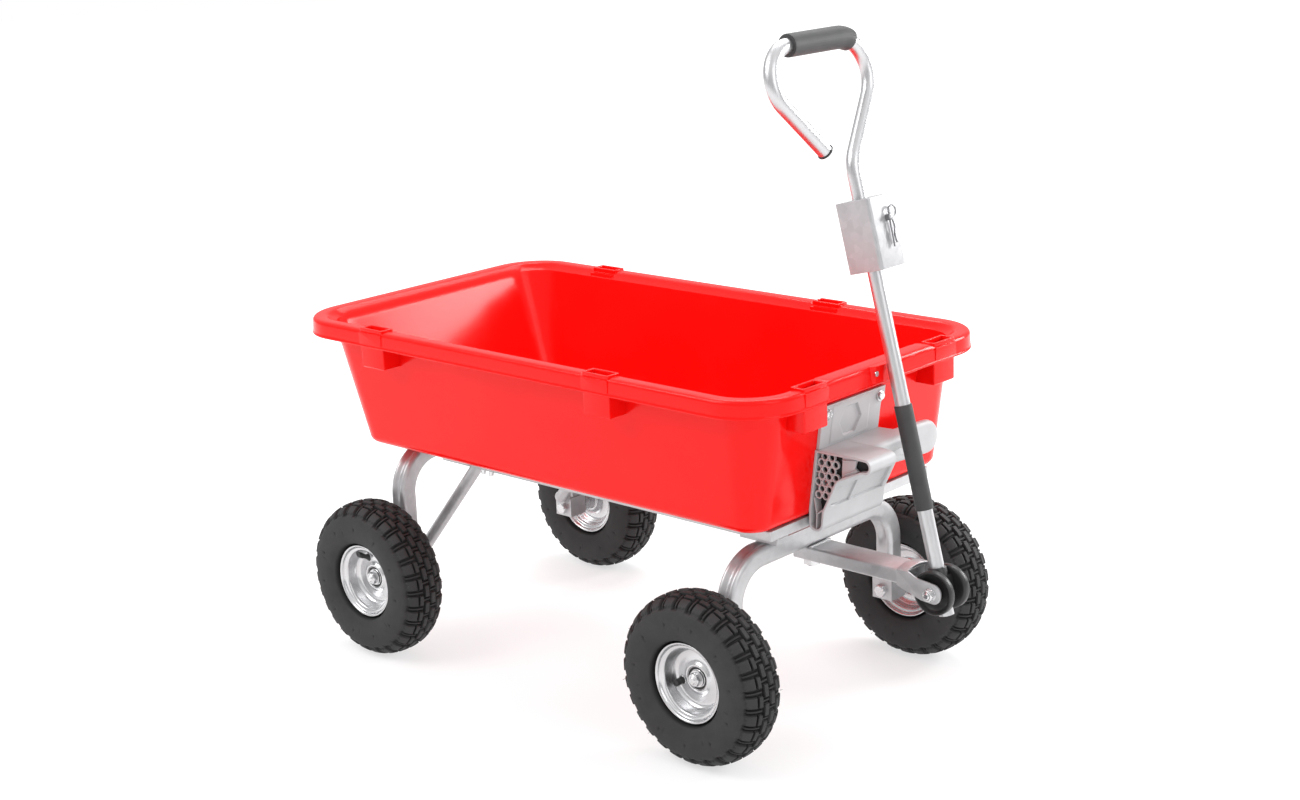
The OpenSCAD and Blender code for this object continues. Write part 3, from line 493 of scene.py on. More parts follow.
def pocketPlaces():
    # each stake pocket's own axes, its hole's length first and the cart's outside second
    s = tubSizes
    for x in s["sidePockets"]:
        for side in (-1, 1):
            yield ("side", x, side, lambda p, x=x, side=side: np.stack(
                [x + p[..., 0], side * (s["halfWidth"] - s["pocketInset"] + p[..., 1]), p[..., 2]], -1))
    for side in (-1, 1):
        yield ("front", s["frontPocketY"], side, lambda p, side=side: np.stack(
            [s["front"] - s["pocketInset"] + p[..., 1], side * s["frontPocketY"] + p[..., 0], p[..., 2]], -1))


def addPockets(shells):
    # for each pocket a collar round the hole, a socket whose back follows the wall's slope, and a flat pad
    s = tubSizes
    l, w, top, wall = s["holeLength"] / 2, s["holeWidth"] / 2, s["rimTop"], s["pocketWall"]
    hole = rectangle(-l, l, -w, w, 1.2)
    for kind, _, _, place in pocketPlaces():
        frameSlab(shells, rectangle(-l - wall, l + wall, -w - wall, w + wall, 2.2), hole, top - 4, top + s["pocketRise"],
                  0.9, place=place)
        edge = s["halfWidth"] - s["pocketInset"] if kind == "side" else s["front"] - s["pocketInset"]
        wallAt = sideWall if kind == "side" else frontWall
        zs = [top - s["pocketDepth"], top - s["pocketDepth"] + 1.2, top - 40, top - 5]
        outer = [stand(rectangle(-l - wall + e, l + wall - e, wallAt(z) - 2.4 - edge, w + 3.4 - e, 2.0), z, "z")
                 for z, e in zip(zs, (1.2, 0, 0, 0))]
        inner = [stand(rectangle(-l, l, -w, w, 1.2), z, "z") for z in (top - 4.5, top - 30, top - 58)]
        shells.grid(place(np.stack(outer + inner)))
        panel = rectangle(-l - wall, l + wall, top - s["skirt"] + 4, top - 3, 1.5)   # flat pad on the skirt's face
        slab(shells, panel, s["pocketInset"] - 3, s["pocketInset"] + 0.1, 0.6, "y", place)


def buildTub():
    # the shell with its six pocket holes cut through the lip, and the pockets as a second piece
    shell = Shells().grid(tubShell())
    body = makePiece("tubShell", shell, "bed", finishes["redPlastic"], ["tub"], sharp=42)
    s = tubSizes
    cutter = Shells()
    l, w = s["holeLength"] / 2 + 1.5, s["holeWidth"] / 2 + 1.5
    for _, _, _, place in pocketPlaces():
        cutter.grid(place(np.stack([stand(rectangle(-l, l, -w, w, 0.5, 2), z, "z") for z in (s["rimTop"] - 12,
                                                                                             s["rimTop"] + 9)])))
    knife = makePiece("pocketCutter", cutter, "bed", finishes["redPlastic"])
    cut = body.modifiers.new("pocketHoles", "BOOLEAN")
    cut.operation, cut.object, cut.solver = "DIFFERENCE", knife, "EXACT"
    graph = bpy.context.evaluated_depsgraph_get()
    done = bpy.data.meshes.new_from_object(body.evaluated_get(graph))
    body.modifiers.clear()
    body.data = done
    done.name = "tubShell"
    bpy.data.objects.remove(knife)
    pockets = Shells()
    addPockets(pockets)
    makePiece("stakePockets", pockets, "bed", finishes["redPlastic"])
    print("tub made:", len(done.polygons), "faces")


buildTub()


# wheels
wheelSizes = dict(radius=130.0, halfWidth=43.0, seatRadius=52.0, hubRadius=18.0, hubOut=7.0, hubIn=-48.0,
                  valveRadius=34.0, pitches=28, pitchSteps=26, tread=5.2, axleZ=130.0, trackHalf=262.0)


def wheelPlace(x, side, spin=0.0):
    # from the wheel's own axis, its outer face at +Z, onto its axle
    s, c, d = wheelSizes, math.cos(spin), math.sin(spin)
    def place(p):
        a, b = p[..., 0] * c - p[..., 1] * d, p[..., 0] * d + p[..., 1] * c
        return np.stack([x + a, side * (s["trackHalf"] + p[..., 2]), s["axleZ"] - side * b], -1)
    return place


def treadDepth(lateral, turn):
    # how deep the groove is, 0 to 1, at a sideways distance from the crown and at a place in the pitch
    size = 2 * math.pi * 125 / wheelSizes["pitches"]
    def bar(low, high, phase, length, soft=0.55, notch=0.0):
        t = ((turn - phase + 0.5) % 1 - 0.5) * size
        wave = notch * np.sign(np.sin(t * 2 * math.pi / 4.2))
        return (ease(lateral, low - soft, low + soft) * (1 - ease(lateral, high + wave - soft, high + wave + soft))
                * (1 - ease(np.abs(t), length / 2 - soft, length / 2 + soft)))
    block = size * 0.62
    halves = []
    for near, far in ((0.0, 0.5), (0.5, 0.0)):
        halves += [bar(23.5, 60, near, block, soft=0.7), bar(13.6, 21.2, near, block),
                   bar(10.8, 20.0, near, 3.2) * 0.7, bar(1.6, 10.6, far, block + 2), bar(14, 43, far, 3.4) * 0.6,
                   bar(0, 12, near, 3.0) * 0.6, ease(lateral, 37, 49) + 0 * turn]
        lateral = lateral * -1
    return 1 - np.maximum.reduce(halves)


def tyreGrid():
    # a superellipse section of power 2.5 turned round the axle, sunk along its normal by the tread's depth
    s = wheelSizes
    mid, half = (s["radius"] + s["seatRadius"]) / 2, (s["radius"] - s["seatRadius"]) / 2
    a = np.linspace(-2.12, 2.12, 1400)
    power = 2 / 2.5
    r = mid + half * np.sign(np.cos(a)) * np.abs(np.cos(a)) ** power
    z = s["halfWidth"] * np.sign(np.sin(a)) * np.abs(np.sin(a)) ** power
    arc = np.concatenate([[0], np.cumsum(np.hypot(np.diff(r), np.diff(z)))])
    arc -= arc[-1] / 2
    reach = arc[-1]
    stations = np.concatenate([np.linspace(-reach, -46, 14)[:-1], np.linspace(-46, 46, 80), np.linspace(46, reach, 14)[1:]])
    r, z = np.interp(stations, arc, r), np.interp(stations, arc, z)
    normal = unit(np.stack([np.gradient(z, stations), -np.gradient(r, stations)], -1))
    normal *= np.sign((normal * np.stack([r - mid, z], -1)).sum(-1))[:, None]
    turn = np.arange(s["pitches"] * s["pitchSteps"]) / s["pitchSteps"]
    lateral, around = stations[:, None], turn[None]
    worn = np.abs(lateral)
    depth = treadDepth(lateral, around)
    angle = 2 * math.pi * around / s["pitches"]
    teeth = 1.5 * np.abs((around * 4 + 0.25) % 1 - 0.5) * 4 - 1.5
    ring = 0.30 * ease(worn, 39.6 + teeth, 40.8 + teeth) * (1 - ease(worn, 42, 47)) + 0.05 * ease(worn, 50, 52)
    pits = 0
    for count, place, start in ((11, 66.0, 0.2), (7, 72.0, 0.75)):
        gap = ((angle * count / (2 * math.pi) + start) % 1 - 0.5) * 2 * math.pi * 80 / count
        pits = pits + np.exp(-(gap ** 2 + (worn - place) ** 2) / 2.2)
    pits = np.clip(pits * 1.4, 0, 1)
    drop = (depth + ring + pits * 0.35) * s["tread"]
    radius = r[:, None] - normal[:, :1] * drop
    height = z[:, None] - normal[:, 1:] * drop
    grid = np.stack([radius * np.cos(angle), radius * np.sin(angle), height + 0 * angle], -1)
    # painted shade: darker the deeper a point lies in a groove, the shoulder ring or a pit
    grooveShade = np.clip(depth + ring * (worn < 45), 0, 1) ** 1.5
    grooveShade = np.maximum(grooveShade, pits * 0.9) + 0 * angle
    return grid, grooveShade, r[0], z[0]


def closeTyre(grid, grooveShade):
    # the bead lips turn in under the rim flanges, and an inner wall closes the shell
    n = grid.shape[1]
    angle = 2 * math.pi * np.arange(n) / n
    def ring(r, z):
        return np.stack([r * np.cos(angle), r * np.sin(angle), np.full(n, float(z))], -1)
    lip = [(66.6, 37.0), (65.3, 35.2), (64.5, 32.4), (64.0, 28.6), (62.6, 25.0), (61.6, 23.0), (54.5, 22.4), (53.2, 19.0),
           (53.0, 14.0), (62.0, 13.0), (78.0, 30.0), (112.0, 30.0)]
    end = [ring(r, z) for r, z in lip] + [ring(120.0, 10.0)]
    start = [ring(120.0, -10.0)] + [ring(r, -z) for r, z in lip[::-1]]
    full = np.concatenate([grid, end, start])
    # painted shade: light where the bead lips leave the sidewall, full where they turn in under the rim flanges and on
    # the inner wall
    shade = np.array([0.1, 0.45, 0.9, 1.0] + [1.0] * (len(end) - 4))[:, None] * np.ones(n)
    tint = np.concatenate([grooveShade, shade, shade[::-1]])
    return full, tint


def addWhiskers(shells, place):
    # moulding hairs left standing on the shoulders
    spots = np.linspace(0, 2 * math.pi, 17, endpoint=False)
    for i, a in enumerate(spots):
        side = 1 if i % 2 else -1
        radius, height = 121.5 - (i % 3) * 3.5, side * (33.0 + (i % 3) * 2)
        def hair(p, a=a, radius=radius, height=height, side=side):
            out = p[..., 2]
            r = radius + out * 0.35
            return place(np.stack([r * np.cos(a) - p[..., 1] * np.sin(a), r * np.sin(a) + p[..., 1] * np.cos(a),
                                   height + side * out * 0.9 + p[..., 0]], -1))
        lathe(shells, [[0.4, -1.5], [0.35, 1.0], [0.2, 3.2 + (i % 4) * 0.5]], hair, 5)


def rimProfile(collar, floor):
    # half of the wheel disc from the collar round its hub out to the flange, as radius and height, and back underneath
    s = wheelSizes
    outline = np.array([[s["hubRadius"] + 0.2, collar - 0.6], [19.2, collar + 0.3], [21.0, collar + 0.2], [22.2, collar - 0.7],
                        [23.6, mix(floor, collar, 0.62)], [25.6, mix(floor, collar, 0.3)], [28.6,
                                                                                            mix(floor, collar, 0.1)], [32.0,
                                                                                                                       floor],
                        [36.0, floor - 0.4], [40.0, floor - 0.2], [43.5, floor + 1.2], [46.4, floor + 4.4], [48.0,
                                                                                                             13.0], [49.0,
                                                                                                                     18.0],
                        [49.6, 21.6], [51.0, 24.0], [53.4, 25.0], [55.2, 25.6], [56.4, 27.2], [57.4, 29.2], [58.8,
                                                                                                             30.6], [60.2,
                                                                                                                     30.8],
                        [61.0, 30.0], [61.0, 28.4], [60.2, 27.2], [58.8, 26.4], [57.6, 24.6], [55.6, 23.4], [53.0,
                                                                                                             22.6], [52.0,
                                                                                                                     20.4],
                        [51.4, 15.0], [50.0, 8.0], [47.4, 2.6], [44.0, 0.8], [40.0, 0.5], [32.0, 0.6], [26.0, 0.7], [20.4, 0.9],
                        [18.3, 2.0]])
    t = np.linspace(0, len(outline), len(outline) * 3, endpoint=False)
    k, f = t.astype(int), (t % 1)[:, None]
    p = [np.take(outline, k + i, 0, mode="wrap") for i in (-1, 0, 1, 2)]
    smooth = 0.5 * (2 * p[1] + (p[2] - p[0]) * f + (2 * p[0] - 5 * p[1] + 4 * p[2] - p[3]) * f ** 2
                    + (3 * p[1] - p[0] - 3 * p[2] + p[3]) * f ** 3)
    return np.stack([np.maximum(smooth[:, 0], s["hubRadius"] + 0.1), smooth[:, 1]], -1)


tyreShape = closeTyre(*tyreGrid()[:2])


def buildWheel(corner, x, side, spin, longValve):
    # tyre, valve, two rim halves and hub, each a profile turned round the wheel's axis
    s = wheelSizes
    place = wheelPlace(x, side, spin)
    body = corner + "_wheel"
    tyre = Shells().grid(place(tyreShape[0]), wrapRows=True, tint=tyreShape[1])
    addWhiskers(tyre, place)
    valve = Shells()
    va = math.radians(200)
    def valvePlace(p, lean=0.55 if longValve else 0.0):
        # the stem's own axis, tipped towards the rim's edge
        r = s["valveRadius"] + p[..., 0] + p[..., 2] * math.sin(lean)
        return place(np.stack([r * math.cos(va) - p[..., 1] * math.sin(va), r * math.sin(va) + p[..., 1] * math.cos(va),
                               4.0 + p[..., 2] * math.cos(lean)], -1))
    long = 21.0 if longValve else 15.0
    lathe(valve, [[0.1, -3], [5.8, -3], [6.0, 0.5], [5.2, 2.5], [4.4, 4.0], [4.4, long - 9], [5.3, long - 8.4],
                  [5.4, long - 1.4],
                  [5.0, long - 0.3], [3.4, long], [3.0, long - 0.8], [0.1, long - 0.8]], valvePlace, 28)
    makePiece(corner + "Tyre", tyre, body, finishes["tyreRubber"], [corner + "_tyre"], sharp=50,
              paintedShadeName="groove")
    makePiece(corner + "Valve", valve, body, finishes["blackPlastic"])
    for part, flip in (("Outer", 1), ("Inner", -1)):
        rim = Shells()
        lathe(rim, rimProfile(*((8.0, 3.6) if flip > 0 else (22.0, 7.6))) * [1, flip], place, 144, closed=True)
        if flip > 0:
            a = np.linspace(0, 2 * math.pi, 28, endpoint=False)   # the raised ring pressed round the valve hole
            path = np.stack([(s["valveRadius"] + 6.6 * np.cos(a)) * math.cos(va) - 6.6 * np.sin(a) * math.sin(va),
                             (s["valveRadius"] + 6.6 * np.cos(a)) * math.sin(va) + 6.6 * np.sin(a) * math.cos(va), 0 * a + 4.0], -1)
            sweep(rim, path, circle(0.9, 8), (0, 0, 1), closed=True, place=place)
        makePiece(corner + "Rim" + part, rim, body, finishes["rimSteel"], [f"{corner}_rim_{part.lower()}"],
                  sharp=50)
    hub, seals = Shells(), Shells()
    middle, end = (s["hubOut"] + s["hubIn"]) / 2, (s["hubOut"] - s["hubIn"]) / 2
    shift = np.array([0, middle])
    lathe(hub, np.array([[17.0, -end + 0.6], [17.3, -end], [17.8, -end], [18.0, -end + 0.5], [18.0, end - 0.5], [17.8, end],
                         [17.3, end],
                         [17.0, end - 0.6], [16.8, end - 3.5], [16.8, -end + 3.5]]) + shift, place, 96, closed=True)
    for flip in (1, -1):
        lathe(seals, np.array([[16.7, end - 4], [16.7, end - 1.8], [16.2, end - 1.2], [14.4, end - 1.2], [13.9, end - 1.8],
                               [13.9, end - 4]])
              * [1, flip] + shift, place, 72, closed=True)
        lathe(hub, np.array([[13.8, end - 5], [13.8, end - 1.0], [13.2, end - 0.4], [10.6, end - 0.2], [9.8, end],
                             [6.9, end], [6.4, end - 0.6],
                             [6.4, end - 5]]) * [1, flip] + shift, place, 72, closed=True)
    makePiece(corner + "Hub", hub, body, finishes["rimSteel"], [corner + "_hub"])
    makePiece(corner + "BearingSeals", seals, body, finishes["blackPlastic"], [corner + "_bearings"])


for corner, x, side, spin, longValve in (("rear_right", -axleX, -1, math.radians(-82), True),
                                         ("rear_left", -axleX, 1, 0.9, False),
                                         ("front_right", axleX, -1, 0.0, False), ("front_left", axleX, 1, 2.1, False)):
    buildWheel(corner, x, side, spin, longValve)
print("wheels made")


# axle bolts
axleSizes = dict(legIn=178.0, legOut=210.0, sheet=2.5, across=18.0, washer=12.5)


def buildAxleBolts(name, x, body):
    # for each wheel the head, spacer, bolt, washer, nut and thread, turned round the axle's line
    s, w = axleSizes, wheelSizes
    shells = Shells()
    hubIn, hubOut = w["trackHalf"] + w["hubIn"] - 0.4, w["trackHalf"] + w["hubOut"] + 0.4
    for side in (1, -1):
        def outward(p, side=side):
            return np.stack([x + p[..., 0], side * p[..., 2], w["axleZ"] + p[..., 1]], -1)
        def inward(p, side=side):
            return np.stack([x + p[..., 0], side * (s["legIn"] - s["sheet"] - p[..., 2]), w["axleZ"] + p[..., 1]], -1)
        hexHead(shells, s["across"], 0, 8, inward)
        lathe(shells, roundEdge(10, hubIn, 0.8, s["legOut"] + s["sheet"]), outward, 48)
        lathe(shells, roundEdge(6, hubOut, 0.5, hubIn), outward, 40)
        lathe(shells, roundEdge(s["washer"], hubOut + 2, 0.5, hubOut), outward, 64)
        hexHead(shells, s["across"], hubOut + 2, hubOut + 9.5, outward, bore=6.2)
        lathe(shells, [[7.4, hubOut + 9.0], [7.4, hubOut + 9.9], [6.9, hubOut + 10.4], [6.0, hubOut + 10.4]], outward, 48)
        threadEnd(shells, 5.9, hubOut + 5, hubOut + 12, outward)
    makePiece(name + "AxleBolts", shells, body, finishes["brightSteel"], [name + "_axle_bolts"])


buildAxleBolts("rear", -axleX, "chassis")
buildAxleBolts("front", axleX, "front_axle")


# bent arches
archSizes = dict(tube=32.0, corner=8.0, legY=194.0, bend=66.0, foot=115.0, rearTop=320.0, frontTop=277.4, grooveDepth=5.6,
                 grooveHalf=6.4)


def archPath(top):
    # half circle bends join two legs to the crossbar; the number beside each point is how far into a bend it lies
    s = archSizes
    r, y = s["bend"], s["legY"]
    leg = np.linspace(s["foot"], top - r, 10)[:-1]
    a = np.linspace(0, math.pi / 2, 34)
    bar = np.linspace(y - r, -(y - r), 26)[1:-1]
    ys = np.concatenate([np.full(len(leg), y), y - r + r * np.cos(a), bar, -(y - r) - r * np.sin(a), np.full(len(leg), -y)])
    zs = np.concatenate([leg, top - r + r * np.sin(a), np.full(len(bar), top), top - r + r * np.cos(a), leg[::-1]])
    length = np.concatenate([[0], np.cumsum(np.hypot(np.diff(ys), np.diff(zs)))])
    edges = np.interp([len(leg), len(leg) + len(a) - 1], np.arange(len(length)), length)
    def bent(s0, s1):
        return ease(length, s0 - 16, s0 + 12) * (1 - ease(length, s1 - 12, s1 + 16))
    amount = bent(*edges) + bent(length[-1] - edges[1], length[-1] - edges[0])
    return ys, zs, amount


def buildArch(name, x, top, body):
    # a rounded square carried along the arch, its faces dented by a bell curve where the tube is bent
    s = archSizes
    ys, zs, amount = archPath(top)
    path = np.stack([np.full(len(ys), x), ys, zs], -1)
    half = s["tube"] / 2
    line = roundCorners([[half, half], [-half, half], [-half, -half], [half, -half]], s["corner"], 9)
    line = np.concatenate([mix(line[i], line[(i + 1) % len(line)],
                               np.linspace(0, 1, 13)[:-1, None]) if i % 9 == 8 else line[i:i + 1]
                           for i in range(len(line))])
    across, out = line[None, :, 0], line[None, :, 1]
    dent = s["grooveDepth"] * amount[:, None] * (np.exp(-(across / s["grooveHalf"]) ** 2) - 0.12)
    ring = np.stack([np.broadcast_to(across, dent.shape) * (1 - 0.03 * amount[:, None]),
                     out - np.sign(out) * dent * ease(np.abs(out), half - 3, half - 0.5)], -1)
    shells = Shells()
    sweep(shells, path, ring, (1, 0, 0))
    makePiece(name + "ArchTube", shells, body, finishes["zincSteel"], [name + "_arch"], sharp=40)


buildArch("rear", -axleX, archSizes["rearTop"], "chassis")
buildArch("front", axleX, archSizes["frontTop"], "front_axle")
print("axles made")


# rails
railSizes = dict(rear=-255.0, front=432.0, outer=190.0, flange=30.0, height=15.0, sheet=3.0, top=345.0)


def buildRails():
    # each rail is an L carried from the rear end to the front
    s = railSizes
    t, shells = s["sheet"], Shells()
    for side in (1, -1):
        line = roundCorners([[s["outer"], s["top"]], [s["outer"] - s["flange"], s["top"]],
                             [s["outer"] - s["flange"], s["top"] - t],
                             [s["outer"] - t, s["top"] - t], [s["outer"] - t, s["top"] - s["height"]], [s["outer"],
                                                                                                        s["top"] - s["height"]]],
                            [2.0, 0.6, 0.6, 1.2, 0.6, 0.6], 5)
        slab(shells, line * [side, 1], s["rear"], s["front"] - t, 0.3, "x")
    makePiece("sideRailAngles", shells, "chassis", finishes["zincSteel"], ["side_rails"])


def buildBeams():
    # two square tubes under the rails, each closed by a plate a little way in
    s, shells = railSizes, Shells()
    for side in (1, -1):
        low, high = side * 112.5 - 12.5, side * 112.5 + 12.5
        outer = rectangle(low, high, 305, s["top"] - s["height"], 2.4, 5)
        frameSlab(shells, outer, rectangle(low + 2, high - 2, 307, s["top"] - s["height"] - 2, 1.0, 5), -338.0, axleX + 37,
                  0.4, "x")
        for x in (-336.0, axleX + 34):
            slab(shells, rectangle(low + 2.1, high - 2.1, 307.1, s["top"] - s["height"] - 2.1, 1.0, 5), x, x + 1.4, 0.3, "x")
    makePiece("floorBeamTubes", shells, "chassis", finishes["zincSteel"], ["floor_beams"])


buildRails()
buildBeams()
print("frame made")


# tongue and clevis
tongueSizes = dict(rear=338.0, front=545.0, halfWidth=25.0, top=261.4, height=21.5, pivotX=590.0, pivotZ=237.0, ear=30.0,
                   sheet=3.0,
                   crown=5.0, boltRadius=5.0)


def buildTongue():
    # a square tube along X, and a rippled weld bead where it meets the arch
    s = tongueSizes
    shells = Shells()
    outer = rectangle(-s["halfWidth"], s["halfWidth"], s["top"] - s["height"], s["top"], 3.2, 6)
    inner = rectangle(-s["halfWidth"] + 2.5, s["halfWidth"] - 2.5, s["top"] - s["height"] + 2.5, s["top"] - 2.5, 1.2, 6)
    frameSlab(shells, outer, inner, s["rear"], s["front"], 0.5, "x")
    slab(shells, inset(inner, 0.2), s["front"] - 14, s["front"] - 11, 0.3, "x")
    makePiece("tongueTube", shells, "front_axle", finishes["zincSteel"], ["tongue"])
    beads = Shells()
    t = np.linspace(0, 1, 60)
    path = np.stack([np.full(60, axleX + archSizes["tube"] / 2 + 0.6), mix(-s["halfWidth"] + 1, s["halfWidth"] - 1, t),
                     np.full(60, s["top"] + 0.2)], -1)
    ripple = (2.3 + 0.5 * np.abs(np.sin(t * 52)) * np.sin(t * math.pi) ** 0.2)[:, None, None]
    sweep(beads, path, circle(1.0, 12) * ripple, (0, 0, 1))
    makePiece("weldBeads", beads, "front_axle", finishes["zincSteel"])


def buildClevis():
    # two ears and a saddle arched as a parabola, with the pivot bolt through them
    s = tongueSizes
    shells = Shells()
    x0, x1, nose, half = s["front"] - 14, s["front"] + 4, s["pivotX"] + 3, s["ear"] / 2
    tip, low, high = nose + half * 0.98, s["pivotZ"] - half, s["pivotZ"] + half
    ear = roundCorners([[x0, low + 17], [x0 + 42, low + 3], [tip, low], [tip, high], [x1 + 16, high + 5],
                        [x1 + 2, s["top"] + 2.2],
                        [x0, s["top"] + 2.2]], [1.0, 10, 13.5, 13.5, 10, 3.0, 1.0], 10)
    for side in (1, -1):
        slab(shells, ear, side * s["halfWidth"], side * (s["halfWidth"] + s["sheet"]), 0.5, "y")
    y = np.linspace(-s["halfWidth"] - s["sheet"] + 0.4, s["halfWidth"] + s["sheet"] - 0.4,
                    41)      # arched saddle over the tube's end
    arch = s["crown"] * (1 - (y / (s["halfWidth"] + s["sheet"])) ** 2)
    upper = np.stack([y, s["top"] + 1.6 + arch], -1)
    lower = np.stack([y, s["top"] - 0.2 + arch * 0.9], -1)[::-1]
    slab(shells, np.concatenate([upper, lower]), x0, x1, 0.4, "x")
    makePiece("clevisFork", shells, "front_axle", finishes["zincSteel"], ["clevis"])
    bolt = Shells()
    y1 = s["halfWidth"] + s["sheet"]
    def nearSide(p):
        return np.stack([s["pivotX"] + p[..., 0], -y1 - p[..., 2], s["pivotZ"] + p[..., 1]], -1)
    def farSide(p):
        return np.stack([s["pivotX"] + p[..., 0], y1 + p[..., 2], s["pivotZ"] + p[..., 1]], -1)
    lathe(bolt, roundEdge(s["boltRadius"] - 0.1, 0.4, 0.2, -2 * y1 - 0.4), nearSide, 32)
    lathe(bolt, roundEdge(10, 1.5, 0.4, 0.0), nearSide, 56)
    hexHead(bolt, 16, 1.5, 8.4, nearSide, bore=5.2)
    lathe(bolt, [[6.4, 7.6], [6.4, 8.6], [5.9, 9.0], [5.0, 9.0]], nearSide, 40)
    threadEnd(bolt, 4.9, 5, 11, nearSide, 1.5)
    hexHead(bolt, 16, 0, 6.5, farSide)
    makePiece("pivotBolt", bolt, "front_axle", finishes["brightSteel"], ["pivot_bolt"])


buildTongue()
buildClevis()


# handle
handleSizes = dict(lean=13.8, tube=11.0, wall=1.8, bracketAt=470.0, bracketHigh=102.0, gripAt=800.0, grip=16.5, sleeve=13.0,
                   sleeveLow=119.0, sleeveHigh=273.0, stub=38.0, disc=33.0, bracketHalf=29.0, bracketBack=-22.0, bracketFront=36.0,
                   pinAt=539.4, pinY=5.0, pin=4.5, clip=1.3,
                   loop=((0, -176), (132.6, 0), (-199.6, 0), (-55, -152)), loopRadii=(58, 55, 48))


def handlePlace(p):
    # from the tube's own axes, Z along it from the pivot and X to its front, into the cart
    a = math.radians(handleSizes["lean"])
    return np.stack([tongueSizes["pivotX"] + p[..., 0] * math.cos(a) - p[..., 2] * math.sin(a), p[..., 1],
                     tongueSizes["pivotZ"] + p[..., 0] * math.sin(a) + p[..., 2] * math.cos(a)], -1)


def bentPath(corners, radii, steps=20, spacing=6.0):
    # straight runs joined by arcs, with extra points along the straight runs
    c = np.asarray(corners, float)
    line = roundCorners(c, np.concatenate([[0], radii, [0]]), steps, closed=False)
    gaps = np.linalg.norm(np.diff(line, axis=0), axis=1)
    filled = [mix(a, b, np.linspace(0, 1, max(int(g / spacing), 1), endpoint=False)[:, None])
              for a, b, g in zip(line, line[1:], gaps)]
    flat = np.concatenate(filled + [line[-1:]])
    return np.stack([0 * flat[:, 0], flat[:, 0], flat[:, 1]], -1)


def buildHandle():
    # round tubes along the handle's own axis, the upper one following a bent line, with sleeve and end cap
    s = handleSizes
    lower = Shells()
    path = np.stack([np.zeros(60), np.zeros(60), np.linspace(-s["stub"], s["bracketAt"] - 0.2, 60)], -1)
    outer, inner = circle(s["tube"], 48), circle(s["tube"] - s["wall"], 48)
    flat = ((0, 0), (0, 1))   # gives a ring's points a third number, zero
    rows = np.concatenate([path[:, None] + np.pad(outer, flat)[None], path[::-1, None] + np.pad(inner, flat)[None]])
    lower.grid(handlePlace(rows), wrapRows=True)
    makePiece("lowerTube", lower, "handle", finishes["handleTube"], ["lower_tube"])
    g = s["gripAt"]
    corners = [[0, s["bracketAt"] + 16], *([y, g + z] for y, z in s["loop"])]
    upper = Shells()
    path = bentPath(corners, s["loopRadii"])
    sweep(upper, path, outer, (1, 0, 0), place=handlePlace)
    makePiece("upperTube", upper, "handle", finishes["handleTube"], ["upper_tube"])
    sleeve = Shells()
    lathe(sleeve, [[s["tube"] + 0.1, s["sleeveLow"]], [s["sleeve"] - 0.5, s["sleeveLow"]], [s["sleeve"], s["sleeveLow"] + 0.7],
                   [s["sleeve"], s["sleeveHigh"] - 0.7], [s["sleeve"] - 0.5, s["sleeveHigh"]], [s["tube"] + 0.1,
                                                                                                s["sleeveHigh"]]],
          handlePlace, 64, closed=True)
    makePiece("tubeSleeve", sleeve, "handle", finishes["foamGrip"], ["handle_sleeve"])
    buildGrip(path, g)
    v = unit(np.array([corners[4][0] - corners[3][0], corners[4][1] - corners[3][1]]))
    cap = Shells()
    def capPlace(p):
        return handlePlace(np.stack([p[..., 0], corners[4][0] + v[0] * p[..., 2] - v[1] * p[..., 1],
                                     corners[4][1] + v[1] * p[..., 2] + v[0] * p[..., 1]], -1))
    t = np.linspace(0, math.pi / 2, 6)
    dome = np.stack([(s["tube"] + 1.4) * np.cos(t), 2.2 + 2.7 * np.sin(t)], -1)
    lathe(cap, np.concatenate([[[0.1, -6], [s["tube"] - 0.5, -6], [s["tube"] - 0.5, 0.1], [s["tube"] + 0.9, 0.1],
                                [s["tube"] + 1.4, 0.6]],
                               dome[:-1], [[0.3, 4.9]]]), capPlace, 48)
    makePiece("tubeEndCap", cap, "handle", finishes["blackPlastic"], ["tube_end_cap"])


def buildGrip(path, gripAt):
    # the foam follows the tube from part way round its right bend to a square-cut left end
    s = handleSizes
    y, z = path[:, 1], path[:, 2]
    length = np.concatenate([[0], np.cumsum(np.linalg.norm(np.diff(path, axis=0), axis=1))])
    onBar = np.abs(z - gripAt) < 0.2
    right = length[onBar].min() - 27
    left = np.interp(-88.0, y[onBar][::-1], length[onBar][::-1])
    at = np.linspace(right, left, 90)
    line = np.stack([np.interp(at, length, path[:, i]) for i in range(3)], -1)
    swell = s["grip"] - 0.9 * np.exp(-(at - right) / 3.0) - 0.25 * np.exp(-(left - at) / 1.2)
    grip = Shells()
    ringOut = circle(1.0, 56)[None] * swell[:, None, None]
    ringIn = np.broadcast_to(circle(s["tube"] + 0.15, 56), ringOut.shape)
    heading = unit(np.gradient(line, axis=0))
    side = np.array([1.0, 0, 0])
    up = unit(np.cross(heading, side))
    rows = [line[:, None] + r[..., :1] * side + r[..., 1:] * up[:, None] for r in (ringOut, ringIn)]
    grip.grid(handlePlace(np.concatenate([rows[0], rows[1][::-1]])), wrapRows=True)
    makePiece("handGrip", grip, "handle", finishes["foamGrip"], ["hand_grip"])


